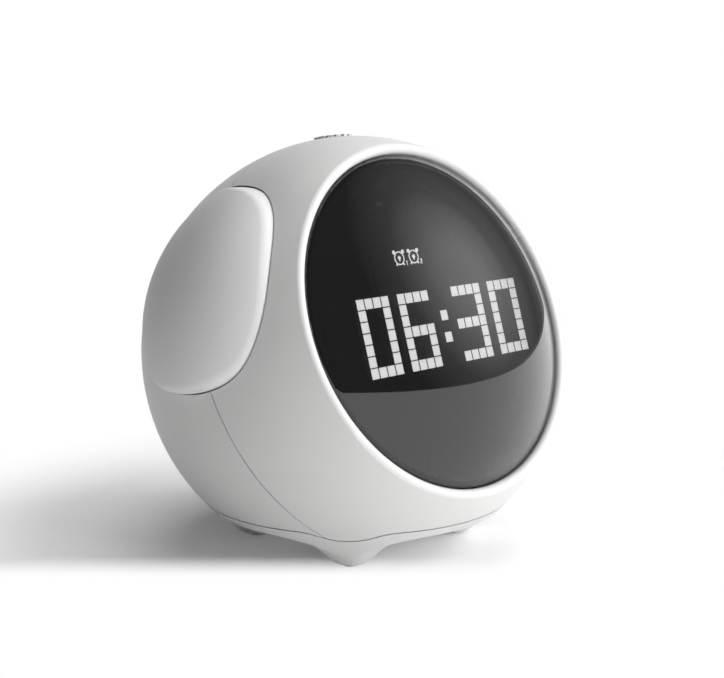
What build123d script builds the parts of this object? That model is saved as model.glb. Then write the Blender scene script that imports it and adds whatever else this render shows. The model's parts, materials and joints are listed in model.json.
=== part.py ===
from build123d import *
import os
from math import asin, atan2, cos, degrees, hypot, radians, sin, sqrt

# A ball-shaped bedside alarm clock: a two-part shell on a base with four nub feet, a domed
# smoked lens over a pixel display, and an ear on each side that presses in as a button.
# Lengths are millimetres. Every piece is built around the middle of the ball, with the front
# along -Y and +Z up, and at the end the whole clock is set down on the plane Z = 0.

# Case
BALL_R = 47.0
WALL = 2.2
INNER_R = BALL_R - WALL
SEAM_GAP = 0.25
FACE_TILT = 22.0
PARTING_N = 5.8
TONGUE_LOW = PARTING_N - 2.0
TONGUE_HIGH = 12.0
TONGUE_OUTER_R = 44.2
TONGUE_INNER_R = 42.9
BASE_LIP = 2.2

# Front opening and lens, measured along and around the tilted face axis
OPENING_R = 36.1
LIP_R = 1.2
LEDGE_N = 21.5
GASKET = 0.6
LENS_R = 35.8
LENS_EDGE_N = 26.8
LENS_RISE = 10.5
LENS_WALL = 1.8
LENS_FLANGE_R = 37.4
LENS_FLANGE = 1.9
LENS_EDGE_ROUND = 0.9
LENS_CLEAR_N = 17.5

# Display
DISPLAY_TILT = 17.6
DISPLAY_FRONT = 27.7
PIXEL_PITCH = 2.29
PIXEL_CELL = 2.1
PIXEL_BLOCK = 1.2
PIXEL_COLUMNS = 21
PIXEL_ROWS = 7
PIXEL_MID_V = 0.0
HOUSING_DEPTH = 5.0
HOUSING_MARGIN = 0.8
HOUSING_FLANGE = 2.5
FLANGE_REACH = 5.0
ICON_PLACES = ((-9.8, 15.1), (-5.4, 15.0))
ICON_R = 1.9
ICON_TOP_V = 18.0
ICON_HALF_WIDTH = 13.0
BOARD = 1.6
EMITTER = 1.2
EMITTER_HEIGHT = 0.5
POST_PLACES = ((-27.3, -5.0), (27.3, -5.0), (-27.3, 4.0), (27.3, 4.0))
POST_R = 2.2
POST_REAR = 11.2
DIGIT_SHAPES = {
    "0": ("1111", "1001", "1001", "1001", "1001", "1001", "1111"),
    "6": ("1111", "1000", "1000", "1111", "1001", "1001", "1111"),
    "3": ("1111", "0001", "0001", "1111", "0001", "0001", "1111"),
    ":": ("0", "0", "1", "0", "1", "0", "0"),
}
SHOWN_TIME = (("0", 0), ("6", 5), (":", 10), ("3", 12), ("0", 17))

# Frame behind the lens
FRAME_REAR = 12.2
FRAME_FRONT = 14.0
FRAME_R = 39.8
FRAME_LOWEST_V = -27.0
FRAME_HALF_WIDTH = 34.5
FRAME_NOTCH_HALF = 14.0
FRAME_NOTCH_V = 26.0
FRAME_BOSSES = ((-17.5, 32.0), (17.5, 32.0), (-30.5, -21.5), (30.5, -21.5))
FRAME_BOSS_R = 2.6
FRAME_BOSS_TOP = 18.2

# Ears
EAR_MID_Y = 3.9
EAR_CROWN_Y = 2.1
EAR_CROWN_Z = 16.6
EAR_BULGE = 5.1
EAR_ACROSS_R = 24.9
EAR_UPRIGHT_R = 35.4
EAR_DOME_HALF = 27.0
EAR_HALF_OUTLINE = (
    (0.0, -3.1),
    (10.5, -1.2),
    (17.3, 3.2),
    (20.5, 12.0),
    (18.6, 23.6),
    (13.6, 32.4),
    (7.6, 36.2),
    (0.0, 37.1),
)
EAR_REAR_SHARE = 0.7
EAR_HUB_Z = 16.0
EAR_START_X = 17.0
EAR_GAP = 0.3
EAR_WALL = 2.0
EAR_FLANGE = 1.4
EAR_FLANGE_OUTER_R = 44.55
EAR_FLANGE_INNER_R = 43.3
EAR_FRONT_N = 16.5
EAR_FRONT_INNER_R = 45.7
EAR_POCKET_R = 42.0
EAR_ROOM_R = 40.0
EAR_EDGE_ROUND = 3.0
EAR_TRAVEL = 1.2
EAR_ACT_V = 16.0
EAR_ACT_N = 2.0
EAR_GUIDE_STEP = 6.0
EAR_PLATE_X = 34.6
EAR_PLATE = 1.6
EAR_BOARD = 1.2
SWITCH = 6.0
SWITCH_HEIGHT = 3.5
PLUNGER_R = 1.65
PLUNGER_FIT = 0.1
PLUNGER_OUT = 1.3
PLUNGER_IN = 1.1
PLUNGER_WELL = PLUNGER_IN + EAR_TRAVEL + 0.3
ACTUATOR_R = 2.5
GUIDE_R = 2.0
GUIDE_FIT = 0.1
GUIDE_END_X = 31.5
SPRING_COLLAR_X = 41.6
SPRING_R = 2.6
SPRING_WIRE_R = 0.25
SPRING_TURNS = 4.5
BRACKET_SCREW_X = 28.0
BRACKET_SCREW_VS = (12.5, 19.5)
BRACKET_BOSS_R = 2.4
BRACKET_BOSS = 3.5
BRACKET_WIDTH = 13.0
BRACKET_FOOT = 1.8
BRACKET_FOOT_REACH = 9.0

# Base and feet
SEAM_Z = -31.3
SEAM_DIP = 2.1
SEAM_DIP_HALF = 11.0
BASE_BOTTOM_Z = -33.6
BASE_PLATE = 2.0
FOOT_AZIMUTH = 47.5
FOOT_CIRCLE = 22.2
FOOT_TIP_Z = -41.4
FOOT_TIP_R = 3.4
FOOT_ROOT_R = 11.5
FOOT_TIP_ROUND = 3.0
FOOT_ROOT_ROUND = 17.0
PAD_R = 1.8
PAD_PROUD = 0.5
PAD_SUNK = 0.6
BASE_SCREWS = ((-9.0, -24.5), (9.0, -24.5), (-9.0, 27.0), (9.0, 27.0))
BASE_SCREW = 5.5
BASE_SCREW_SUNK = 1.0
BASE_SCREW_HEAD = 0.9
BASE_BOSS_R = 3.0
BASE_BOSS_TOP_Z = -26.2
BASE_WEB_TOP_Z = -29.2

# Sound holes and speaker
GRILLE_Y = 7.2
GRILLE_PITCH = 1.3
GRILLE_HOLE_R = 0.45
GRILLE_COUNTS = (4, 9, 14)
GRILLE_BOSS_R = 4.1
GRILLE_RAISE = 0.45
SPEAKER_Y = 5.5
SPEAKER_R = 9.5
SPEAKER_TOP_Z = 40.0
SPEAKER_HEIGHT = 3.6
MAGNET_R = 5.5
MAGNET_HEIGHT = 2.8
SPEAKER_POST_X = 12.2
SPEAKER_POST_R = 2.4
SPEAKER_BAR = 1.6
SPEAKER_BAR_WIDTH = 7.0

# Circuit board and controls at the back
MAIN_FRONT_N = -32.2
MAIN_WIDTH = 44.0
MAIN_HEIGHT = 32.0
MAIN_MID_V = 2.0
MAIN_SCREWS = ((-19.0, -11.0), (19.0, -11.0), (-19.0, 15.0), (19.0, 15.0))
MAIN_BOSS_R = 3.0
BUTTON_NAMES = ("button_mode", "button_up", "button_down")
BUTTON_STEP = 11.0
BUTTON_V = 8.0
BUTTON_R = 4.0
BUTTON_GAP = 0.2
BUTTON_PROUD = 0.9
BUTTON_FLANGE_R = 5.0
BUTTON_FLANGE_TOP_N = -40.5
BUTTON_FLANGE = 1.2
BUTTON_STEM_R = 2.0
USB_V = -12.0
USB_WIDTH = 8.94
USB_HEIGHT = 3.26
USB_WALL = 0.3
USB_MOUTH_N = -44.0
USB_SOCKET_DEPTH = 7.0
CHIP = 10.0
CHIP_HEIGHT = 1.4
CHIP_X = -12.0

# Battery
BATTERY_LENGTH = 44.0
BATTERY_WIDTH = 32.0
BATTERY_HEIGHT = 9.0
BATTERY_PAD = 1.0
STRAP = 1.4
STRAP_WIDTH = 10.0
STRAP_POST_Y = 21.5
STRAP_POST_R = 2.5
STRAP_POST_HEIGHT = 4.6

# Screws and leads
SCREW_R = 1.1
PILOT_R = 1.15
CLEAR_R = 1.35
HEAD_R = 2.0
HEAD = 1.2
LEAD_R = 0.6
LEAD_BEND = 1.5
RIBBON = 0.3
RIBBON_WIDTH = 10.0

FAR = 120.0
UPWARD = (Align.CENTER, Align.CENTER, Align.MIN)

FACE_SIN = sin(radians(FACE_TILT))
FACE_COS = cos(radians(FACE_TILT))
FACE = Plane(origin=(0, 0, 0), x_dir=(1, 0, 0), z_dir=(0, -FACE_COS, FACE_SIN))
SHOW_SIN = sin(radians(DISPLAY_TILT))
SHOW_COS = cos(radians(DISPLAY_TILT))
DISPLAY = Plane(origin=(0, 0, 0), x_dir=(1, 0, 0), z_dir=(0, -SHOW_COS, SHOW_SIN))
MAIN_REAR_N = MAIN_FRONT_N - BOARD
PLATE_TOP_Z = BASE_BOTTOM_Z + BASE_PLATE
LIP_TOP_Z = PLATE_TOP_Z + BASE_LIP
EAR_SWITCH_X = EAR_PLATE_X + EAR_BOARD + SWITCH_HEIGHT
SPEAKER_LOW_Z = SPEAKER_TOP_Z - SPEAKER_HEIGHT - MAGNET_HEIGHT


def rod(radius, low, high):
    """A round bar along local Z."""
    return Pos(0, 0, low) * Cylinder(radius, high - low, align=UPWARD)


def ring(outer, inner, low, high):
    """A plain ring around local Z."""
    return rod(outer, low, high) - rod(inner, low - 1, high + 1)


def slab(width, depth, low, high):
    """A box centred on local Z between two heights."""
    return Pos(0, 0, low) * Box(width, depth, high - low, align=UPWARD)


def bar_x(radius, start, end):
    """A round bar along X between two X positions."""
    return Pos((start + end) / 2, 0, 0) * Rot(0, 90, 0) * Cylinder(radius, abs(end - start))


def turned(profile):
    """A solid of revolution from a face drawn as (radius, height)."""
    return revolve(Plane.XZ * profile, Axis.Z)


def screw(length, head_r=HEAD_R, head=HEAD):
    """A pan-head screw whose head rests on Z = 0 with the thread below and a cross recess."""
    body = rod(head_r, 0, head) + rod(SCREW_R, -length, 0)
    cross = slab(head_r * 1.3, 0.5, head / 2, head + 1)
    cross += slab(0.5, head_r * 1.3, head / 2, head + 1)
    return body - cross


def face_point(x, v, n):
    """A point given across, up and along the tilted face axis, in the clock's own axes."""
    return Vector(x, v * FACE_SIN - n * FACE_COS, v * FACE_COS + n * FACE_SIN)


def as_group(solids):
    """Separate solids kept as one node."""
    return Compound(children=list(solids))


def mirrored(shape):
    """The same piece on the other side of the clock."""
    return mirror(shape, Plane.YZ)


# Ear outline, spread and dome
def ear_prism(grow):
    """The ear's outline, grown outward by a gap, carried along X through the wall on the -X side."""
    points = []
    for across, height in EAR_HALF_OUTLINE:
        reach = hypot(across, height - EAR_HUB_Z)
        stretch = 1 + grow / reach
        points.append((across * stretch, EAR_HUB_Z + (height - EAR_HUB_Z) * stretch))
    rear_half = [(across * EAR_REAR_SHARE, height) for across, height in points]
    front_half = [(-across, height) for across, height in reversed(points[1:-1])]
    outline = make_face(Spline(*rear_half, *front_half, periodic=True))
    return extrude(Plane.YZ.offset(-EAR_START_X) * Pos(EAR_MID_Y, 0, 0) * outline, -FAR / 2)


EAR_CROWN_X = -sqrt(BALL_R**2 - EAR_CROWN_Y**2 - EAR_CROWN_Z**2)
EAR_AXIS = Vector(EAR_CROWN_X, EAR_CROWN_Y, EAR_CROWN_Z).normalized()
EAR_SIDEWAYS = EAR_AXIS.cross(Vector(0, 0, 1)).normalized()
EAR_DOME = Plane(EAR_AXIS * (BALL_R + EAR_BULGE - EAR_ACROSS_R), x_dir=-EAR_AXIS, z_dir=-EAR_SIDEWAYS)


def ear_dome(inset):
    """The barrel that bounds the ear's crown, rounder across than upright, smaller by an inset."""
    crown = EAR_ACROSS_R - inset
    upright = EAR_UPRIGHT_R - inset
    end = crown - upright + sqrt(upright**2 - EAR_DOME_HALF**2)
    section = make_face(
        [
            Line((0, -EAR_DOME_HALF), (end, -EAR_DOME_HALF)),
            ThreePointArc((end, -EAR_DOME_HALF), (crown, 0), (end, EAR_DOME_HALF)),
            Line((end, EAR_DOME_HALF), (0, EAR_DOME_HALF)),
            Line((0, EAR_DOME_HALF), (0, -EAR_DOME_HALF)),
        ]
    )
    return revolve(EAR_DOME * section, Axis(EAR_DOME.origin, EAR_DOME.y_dir))


def ear_guides():
    """The places of the ear's two guide posts along the face axis."""
    return (EAR_ACT_N - EAR_GUIDE_STEP, EAR_ACT_N + EAR_GUIDE_STEP)


def on_ear_line(n, shape):
    """A shape set on the ear's row of posts at one place along the face axis."""
    return FACE * Pos(0, EAR_ACT_V, n) * shape


# The seam between the shells and the base
def seam_tab(start_rho, drop):
    """The tongue by which the shell reaches lower over one foot, before it is turned in place."""
    top = SEAM_Z - drop
    low = top - SEAM_DIP
    middle = (top + low) / 2
    left_arc = TangentArc((-SEAM_DIP_HALF, top), (-SEAM_DIP_HALF / 2, middle), tangent=(1, 0))
    low_arc = ThreePointArc((-SEAM_DIP_HALF / 2, middle), (0, low), (SEAM_DIP_HALF / 2, middle))
    right_arc = TangentArc((SEAM_DIP_HALF, top), (SEAM_DIP_HALF / 2, middle), tangent=(-1, 0))
    sides = Polyline(
        (-SEAM_DIP_HALF, top),
        (-SEAM_DIP_HALF, top + 1),
        (SEAM_DIP_HALF, top + 1),
        (SEAM_DIP_HALF, top),
    )
    outline = make_face([left_arc, low_arc, right_arc, sides])
    return extrude(Plane.XZ.offset(start_rho) * outline, BALL_R)


def foot_turns():
    """The four feet as turns about Z from straight ahead."""
    return (FOOT_AZIMUTH, -FOOT_AZIMUTH, 180 - FOOT_AZIMUTH, FOOT_AZIMUTH - 180)


def below_seam(start_rho, drop):
    """Everything under the wavy seam, lowered by a gap."""
    space = slab(FAR, FAR, -FAR, SEAM_Z - drop)
    for turn in foot_turns():
        space -= Rot(0, 0, turn) * seam_tab(start_rho, drop)
    return space


# Shells
def wall_boss(place, radius, low, high, web_high):
    """A screw boss along local Z with a web that ties it to the wall around it."""
    x, y = place
    reach = hypot(x, y)
    web = Box(BALL_R - reach, WALL, web_high - low, align=(Align.MIN, Align.CENTER, Align.MIN))
    web = Pos(0, 0, low) * web
    turn = Rot(0, 0, degrees(atan2(y, x)))
    return Pos(x, y, 0) * (rod(radius, low, high) + turn * web)


def base_boss(place):
    """The boss inside a shell that takes one of the base's screws."""
    boss = wall_boss(place, BASE_BOSS_R, PLATE_TOP_Z + 0.15, BASE_BOSS_TOP_Z, BASE_WEB_TOP_Z)
    boss -= Pos(*place, 0) * rod(PILOT_R, PLATE_TOP_Z - 1, BASE_BOSS_TOP_Z - 0.6)
    return boss & Sphere(BALL_R - 0.5)


def front_profile():
    """Half section of the front shell, from the parting line round the lip to the lens ledge."""
    lip_mid_r = OPENING_R + LIP_R
    lip_mid_n = sqrt((BALL_R - LIP_R) ** 2 - lip_mid_r**2)
    lip_turn = degrees(atan2(lip_mid_n, lip_mid_r))
    outer_turn = degrees(asin(PARTING_N / BALL_R))
    inner_turn = degrees(asin(PARTING_N / INNER_R))
    ledge_turn = degrees(asin(LEDGE_N / INNER_R))
    outer = CenterArc((0, 0), BALL_R, outer_turn, lip_turn - outer_turn)
    lip = CenterArc((lip_mid_r, lip_mid_n), LIP_R, lip_turn, 180 - lip_turn)
    inner = CenterArc((0, 0), INNER_R, ledge_turn, inner_turn - ledge_turn)
    wall = Polyline(lip @ 1, (OPENING_R, LEDGE_N), inner @ 0)
    parting = Line(inner @ 1, outer @ 0)
    return make_face([outer, lip, wall, inner, parting])


def grille_boss():
    """The low round rise at the top of the ball that carries the sound holes."""
    skin = Sphere(BALL_R + GRILLE_RAISE) - Sphere(BALL_R - WALL / 2)
    return skin & Pos(0, GRILLE_Y, 0) * rod(GRILLE_BOSS_R, 0, BALL_R + 1)


def grille_holes():
    """The rings of sound holes at the top of the ball, the outer ones across the rise's edge."""
    places = [(0.0, 0.0)]
    for lap, count in enumerate(GRILLE_COUNTS, start=1):
        for step in range(count):
            turn = radians(360 * step / count)
            places.append((lap * GRILLE_PITCH * cos(turn), lap * GRILLE_PITCH * sin(turn)))
    return [Pos(x, GRILLE_Y + y, 0) * rod(GRILLE_HOLE_R, SPEAKER_TOP_Z, BALL_R + 1) for x, y in places]


def speaker_posts():
    """The two posts and the collar inside the top that hold the speaker."""
    low = SPEAKER_LOW_Z
    collar = Pos(0, SPEAKER_Y, 0) * ring(SPEAKER_R + 1.7, SPEAKER_R + 0.3, SPEAKER_TOP_Z - 1.5, BALL_R)
    held = FACE * slab(FAR, FAR, PARTING_N + 0.3, LENS_CLEAR_N)
    posts = collar & held
    for side in (-1, 1):
        place = Pos(side * SPEAKER_POST_X, SPEAKER_Y, 0)
        posts += place * (rod(SPEAKER_POST_R, low, BALL_R) - rod(PILOT_R, low - 1, low + 6))
    return posts & Sphere(BALL_R - 0.5)


def ear_front_zone(start):
    """The space ahead of a place along the face axis, where the ear runs close to the lens."""
    return FACE * slab(FAR, FAR, start, BALL_R)


def ear_openings():
    """The ear-shaped holes in both side walls and the room inside for the ears' flanges."""
    shallow = ear_front_zone(EAR_FRONT_N) & Sphere(EAR_FRONT_INNER_R - EAR_TRAVEL - 0.2)
    hole = ear_prism(EAR_GAP) - Sphere(EAR_POCKET_R) - shallow
    room = ear_prism(EAR_FLANGE + 1.0) & (Sphere(INNER_R - 0.05) - Sphere(EAR_ROOM_R))
    room -= ear_front_zone(EAR_FRONT_N + 0.4)
    return hole, room, mirrored(hole), mirrored(room)


def make_front_shell():
    """The front of the ball with its rounded lip, tongue, bosses, sound holes and ear openings."""
    shell = turned(front_profile())
    for place in FRAME_BOSSES:
        boss = wall_boss(place, FRAME_BOSS_R, FRAME_FRONT, FRAME_BOSS_TOP, FRAME_BOSS_TOP)
        shell += boss & Sphere(BALL_R - 0.5)
        shell -= Pos(*place, 0) * rod(PILOT_R, FRAME_FRONT - 1, FRAME_BOSS_TOP - 0.8)
    tongue = ring(TONGUE_OUTER_R, TONGUE_INNER_R, TONGUE_LOW, TONGUE_HIGH) & Sphere(BALL_R - 0.5)
    shell = FACE * shell + (FACE * tongue - slab(FAR, FAR, -FAR, LIP_TOP_Z + 0.5))
    shell += speaker_posts()
    for place in BASE_SCREWS[:2]:
        shell += base_boss(place)
    shell -= below_seam(0, 0) & (Sphere(BALL_R + 1) - Sphere(INNER_R - 3.0))
    for hole in ear_openings():
        shell -= hole
    return shell + grille_boss() - grille_holes()


def usb_slot(grow, low, high):
    """The socket's rounded outline along the face axis, grown all round."""
    outline = SlotOverall(USB_WIDTH + 2 * grow, USB_HEIGHT + 2 * grow)
    return FACE * Pos(0, USB_V, low) * extrude(outline, high - low)


def button_places():
    """The three rear buttons, left to right across the back."""
    return [(BUTTON_STEP * (index - 1), BUTTON_V) for index in range(len(BUTTON_NAMES))]


def make_rear_shell():
    """The back of the ball with its button holes, socket slot and bosses."""
    shell = (Sphere(BALL_R) - Sphere(INNER_R)) & slab(FAR, FAR, -BALL_R - 1, PARTING_N - SEAM_GAP)
    for place in MAIN_SCREWS:
        post = rod(MAIN_BOSS_R, -BALL_R, MAIN_REAR_N) - rod(PILOT_R, MAIN_REAR_N - 4, MAIN_REAR_N + 1)
        shell += (Pos(*place, 0) * post) & Sphere(BALL_R - 0.5)
    for place in button_places():
        shell -= Pos(*place, 0) * rod(BUTTON_R + BUTTON_GAP, -BALL_R - 1, MAIN_FRONT_N)
    shell = FACE * shell
    shell -= usb_slot(0.32, -BALL_R, MAIN_REAR_N)
    for place in BASE_SCREWS[2:]:
        shell += base_boss(place)
    shell -= below_seam(0, 0) & (Sphere(BALL_R + 1) - Sphere(INNER_R - 3.0))
    for hole in ear_openings():
        shell -= hole
    return shell


# Base
def foot_form():
    """One rounded nub foot, its flank easing out into the base, before it is trimmed."""
    outline = Polygon(
        (0, FOOT_TIP_Z),
        (FOOT_TIP_R, FOOT_TIP_Z),
        (FOOT_ROOT_R, BASE_BOTTOM_Z),
        (FOOT_CIRCLE - 1, BASE_BOTTOM_Z),
        (FOOT_CIRCLE - 1, BASE_BOTTOM_Z + 1),
        (0, BASE_BOTTOM_Z + 1),
        align=None,
    )
    tip = outline.vertices().sort_by_distance((FOOT_TIP_R, FOOT_TIP_Z))[0]
    outline = fillet(tip, FOOT_TIP_ROUND)
    root = outline.vertices().sort_by_distance((FOOT_ROOT_R, BASE_BOTTOM_Z))[0]
    return turned(fillet(root, FOOT_ROOT_ROUND))


def foot_places():
    """The four feet on their circle."""
    places = []
    for turn in foot_turns():
        places.append((FOOT_CIRCLE * sin(radians(turn)), -FOOT_CIRCLE * cos(radians(turn))))
    return places


def make_base_cover():
    """The bottom of the ball: a plate with a locating lip, four feet, pad wells and screw holes."""
    rim_rho = sqrt(BALL_R**2 - BASE_BOTTOM_Z**2)
    tip_rho = FOOT_CIRCLE + FOOT_TIP_R + 0.3
    envelope = turned(
        Polygon(
            (0, FOOT_TIP_Z),
            (tip_rho, FOOT_TIP_Z),
            (rim_rho, BASE_BOTTOM_Z),
            (rim_rho, BASE_BOTTOM_Z + 0.5),
            (0, BASE_BOTTOM_Z + 0.5),
            align=None,
        )
    )
    cover = Sphere(BALL_R) & slab(FAR, FAR, BASE_BOTTOM_Z, PLATE_TOP_Z)
    foot = foot_form()
    for x, y in foot_places():
        cover += (Pos(x, y, 0) * foot) & envelope
    tab_start = sqrt(INNER_R**2 - BASE_BOTTOM_Z**2) - 0.7
    cover &= below_seam(tab_start, SEAM_GAP)
    lip_space = Sphere(INNER_R - 0.25) - Sphere(INNER_R - 1.4)
    lip = lip_space & slab(FAR, FAR, PLATE_TOP_Z - 0.5, LIP_TOP_Z)
    for x, y in BASE_SCREWS:
        lip -= Pos(x, y, 0) * slab(3 * BASE_BOSS_R, BALL_R / 2, PLATE_TOP_Z, 0)
    cover += lip
    for x, y in foot_places():
        cover -= Pos(x, y, 0) * rod(PAD_R + 0.05, FOOT_TIP_Z - 2, FOOT_TIP_Z + PAD_SUNK)
    for x, y in BASE_SCREWS:
        cover -= Pos(x, y, 0) * rod(CLEAR_R, FOOT_TIP_Z, PLATE_TOP_Z + 1)
        cover -= Pos(x, y, 0) * rod(HEAD_R + 0.3, FOOT_TIP_Z, BASE_BOTTOM_Z + BASE_SCREW_SUNK)
    for side in (-1, 1):
        post = rod(STRAP_POST_R, PLATE_TOP_Z - 0.5, PLATE_TOP_Z + STRAP_POST_HEIGHT)
        post -= rod(PILOT_R, PLATE_TOP_Z + 0.5, PLATE_TOP_Z + STRAP_POST_HEIGHT + 1)
        cover += Pos(0, side * STRAP_POST_Y, 0) * post
    return cover


def make_foot_pads():
    """The four soft discs the clock stands on."""
    pad = rod(PAD_R, FOOT_TIP_Z - PAD_PROUD, FOOT_TIP_Z + PAD_SUNK)
    return as_group(Pos(x, y, 0) * pad for x, y in foot_places())


def make_base_screws():
    """The four screws that hold the base to both shells."""
    seat = Rot(180, 0, 0) * screw(BASE_SCREW, head=BASE_SCREW_HEAD)
    return as_group(Pos(x, y, BASE_BOTTOM_Z + BASE_SCREW_SUNK) * seat for x, y in BASE_SCREWS)


# Lens
def make_lens():
    """The domed smoked lens with its outward flange."""
    dome_r = (LENS_R**2 + LENS_RISE**2) / (2 * LENS_RISE)
    dome_n = LENS_EDGE_N + LENS_RISE - dome_r
    inner_r = dome_r - LENS_WALL
    skirt_r = LENS_R - LENS_WALL
    flange_top = LEDGE_N - GASKET
    flange_low = flange_top - LENS_FLANGE
    skirt_turn = degrees(atan2(sqrt(inner_r**2 - skirt_r**2), skirt_r))
    edge_turn = degrees(atan2(LENS_EDGE_N - dome_n, LENS_R))
    outer = CenterArc((0, dome_n), dome_r, edge_turn, 90 - edge_turn)
    inner = CenterArc((0, dome_n), inner_r, 90, skirt_turn - 90)
    crown = Line(outer @ 1, inner @ 0)
    skirt = Polyline(
        inner @ 1,
        (skirt_r, flange_low),
        (LENS_FLANGE_R, flange_low),
        (LENS_FLANGE_R, flange_top),
        (LENS_R, flange_top),
        outer @ 0,
    )
    section = make_face([outer, crown, inner, skirt])
    edge = section.vertices().sort_by_distance((LENS_R, LENS_EDGE_N))[0]
    return FACE * turned(fillet(edge, LENS_EDGE_ROUND))


def make_lens_gasket():
    """The foam ring between the lens flange and the ledge."""
    return FACE * ring(LENS_FLANGE_R - 0.1, OPENING_R + 0.2, LEDGE_N - GASKET, LEDGE_N)


# Display
def pixel_place(column, row):
    """The middle of a pixel, columns from the left and rows from the top."""
    u = (column - (PIXEL_COLUMNS - 1) / 2) * PIXEL_PITCH
    v = PIXEL_MID_V + ((PIXEL_ROWS - 1) / 2 - row) * PIXEL_PITCH
    return u, v


def cell_places():
    """The middles of all the pixels."""
    return [pixel_place(column, row) for column in range(PIXEL_COLUMNS) for row in range(PIXEL_ROWS)]


def lit_cells():
    """The pixels that show the time, as columns and rows."""
    cells = set()
    for shape, start in SHOWN_TIME:
        for row, line in enumerate(DIGIT_SHAPES[shape]):
            for column, mark in enumerate(line):
                if mark == "1":
                    cells.add((start + column, row))
    return cells


def housing_outline(with_cells):
    """The display housing's front view, as a plain outline or with its cells cut out."""
    width = PIXEL_COLUMNS * PIXEL_PITCH + 2 * HOUSING_MARGIN
    height = PIXEL_ROWS * PIXEL_PITCH + 2 * HOUSING_MARGIN
    top = PIXEL_MID_V + height / 2
    outline = Pos(0, PIXEL_MID_V) * Rectangle(width, height)
    outline += Pos(0, (top + ICON_TOP_V) / 2) * Rectangle(2 * ICON_HALF_WIDTH, ICON_TOP_V - top)
    if with_cells:
        outline -= [Pos(u, v) * Rectangle(PIXEL_CELL, PIXEL_CELL) for u, v in cell_places()]
        outline -= [Pos(u, v) * Circle(ICON_R) for u, v in ICON_PLACES]
    return outline


def flange_outline():
    """The strip behind the housing that reaches out to its screws on both sides."""
    width = PIXEL_COLUMNS * PIXEL_PITCH + 2 * HOUSING_MARGIN + 2 * FLANGE_REACH
    return Pos(0, PIXEL_MID_V) * Rectangle(width, PIXEL_ROWS * PIXEL_PITCH - 1)


def make_display_housing():
    """The black light box with one square cell per pixel and two round icon cells."""
    rear = DISPLAY_FRONT - HOUSING_DEPTH
    housing = Pos(0, 0, rear) * extrude(housing_outline(True), HOUSING_DEPTH)
    sides = Pos(0, 0, rear) * extrude(flange_outline() - housing_outline(False), HOUSING_FLANGE)
    housing += sides
    for place in POST_PLACES:
        housing -= Pos(*place, 0) * rod(PILOT_R, rear - 1, rear + HOUSING_FLANGE - 0.6)
    return DISPLAY * housing


def make_pixels(lit):
    """The resin blocks that fill the lit cells, or all the others."""
    shown = lit_cells()
    side = PIXEL_CELL - 0.04
    block = slab(side, side, DISPLAY_FRONT - PIXEL_BLOCK, DISPLAY_FRONT - 0.05)
    blocks = []
    for column in range(PIXEL_COLUMNS):
        for row in range(PIXEL_ROWS):
            if ((column, row) in shown) == lit:
                blocks.append(DISPLAY * Pos(*pixel_place(column, row), 0) * block)
    return as_group(blocks)


def make_icon_blocks():
    """The two resin discs behind the alarm signs."""
    disc = rod(ICON_R - 0.02, DISPLAY_FRONT - PIXEL_BLOCK, DISPLAY_FRONT - 0.05)
    return as_group(DISPLAY * Pos(u, v, 0) * disc for u, v in ICON_PLACES)


def make_led_board():
    """The circuit board behind the housing with one soldered emitter per cell."""
    front = DISPLAY_FRONT - HOUSING_DEPTH
    board = Pos(0, 0, front - BOARD) * extrude(housing_outline(False) + flange_outline(), BOARD)
    emitter = slab(EMITTER, EMITTER, front - 0.1, front + EMITTER_HEIGHT)
    board += [Pos(u, v, 0) * emitter for u, v in (*cell_places(), *ICON_PLACES)]
    for place in POST_PLACES:
        board -= Pos(*place, 0) * rod(CLEAR_R, front - BOARD - 1, front + 1)
    return DISPLAY * board


def make_display_screws():
    """The four long screws through the frame's posts into the housing."""
    turned_screw = Rot(180, 0, 0) * screw(DISPLAY_FRONT - HOUSING_DEPTH + 1.6 - POST_REAR)
    return as_group(DISPLAY * Pos(u, v, POST_REAR) * turned_screw for u, v in POST_PLACES)


def make_inner_frame():
    """The black frame behind the lens: it carries the display, and the ears' brackets at its back."""
    frame = rod(FRAME_R, FRAME_REAR, FRAME_FRONT) & slab(2 * FRAME_HALF_WIDTH, FAR, 0, BALL_R)
    notch_height = FRAME_R - FRAME_NOTCH_V + 1
    notch = slab(2 * FRAME_NOTCH_HALF, notch_height, 0, BALL_R)
    frame -= Pos(0, FRAME_NOTCH_V + notch_height / 2, 0) * notch
    frame -= Pos(0, FRAME_LOWEST_V - FRAME_R / 2, 0) * slab(FAR, FRAME_R, 0, BALL_R)
    frame -= Pos(0, PIXEL_MID_V, 0) * slab(RIBBON_WIDTH + 4, 6, 0, BALL_R)
    for side in (-1, 1):
        for v in BRACKET_SCREW_VS:
            place = Pos(side * BRACKET_SCREW_X, v, 0)
            frame += place * rod(BRACKET_BOSS_R, FRAME_REAR, FRAME_FRONT + BRACKET_BOSS)
            frame -= place * rod(PILOT_R, FRAME_REAR - 1, FRAME_FRONT + BRACKET_BOSS - 1)
    for place in FRAME_BOSSES:
        frame -= Pos(*place, 0) * rod(CLEAR_R, FRAME_REAR - 1, FRAME_FRONT + 1)
    frame = FACE * frame
    post_front = DISPLAY_FRONT - HOUSING_DEPTH - BOARD
    for place in POST_PLACES:
        frame += DISPLAY * Pos(*place, 0) * rod(POST_R, POST_REAR, post_front)
        frame -= DISPLAY * Pos(*place, 0) * rod(CLEAR_R, POST_REAR - 1, post_front + 1)
    return frame


def make_frame_screws():
    """The four screws that hold the frame to the front shell."""
    seat = Rot(180, 0, 0) * screw(4.6)
    return as_group(FACE * Pos(x, v, FRAME_REAR) * seat for x, v in FRAME_BOSSES)


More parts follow.
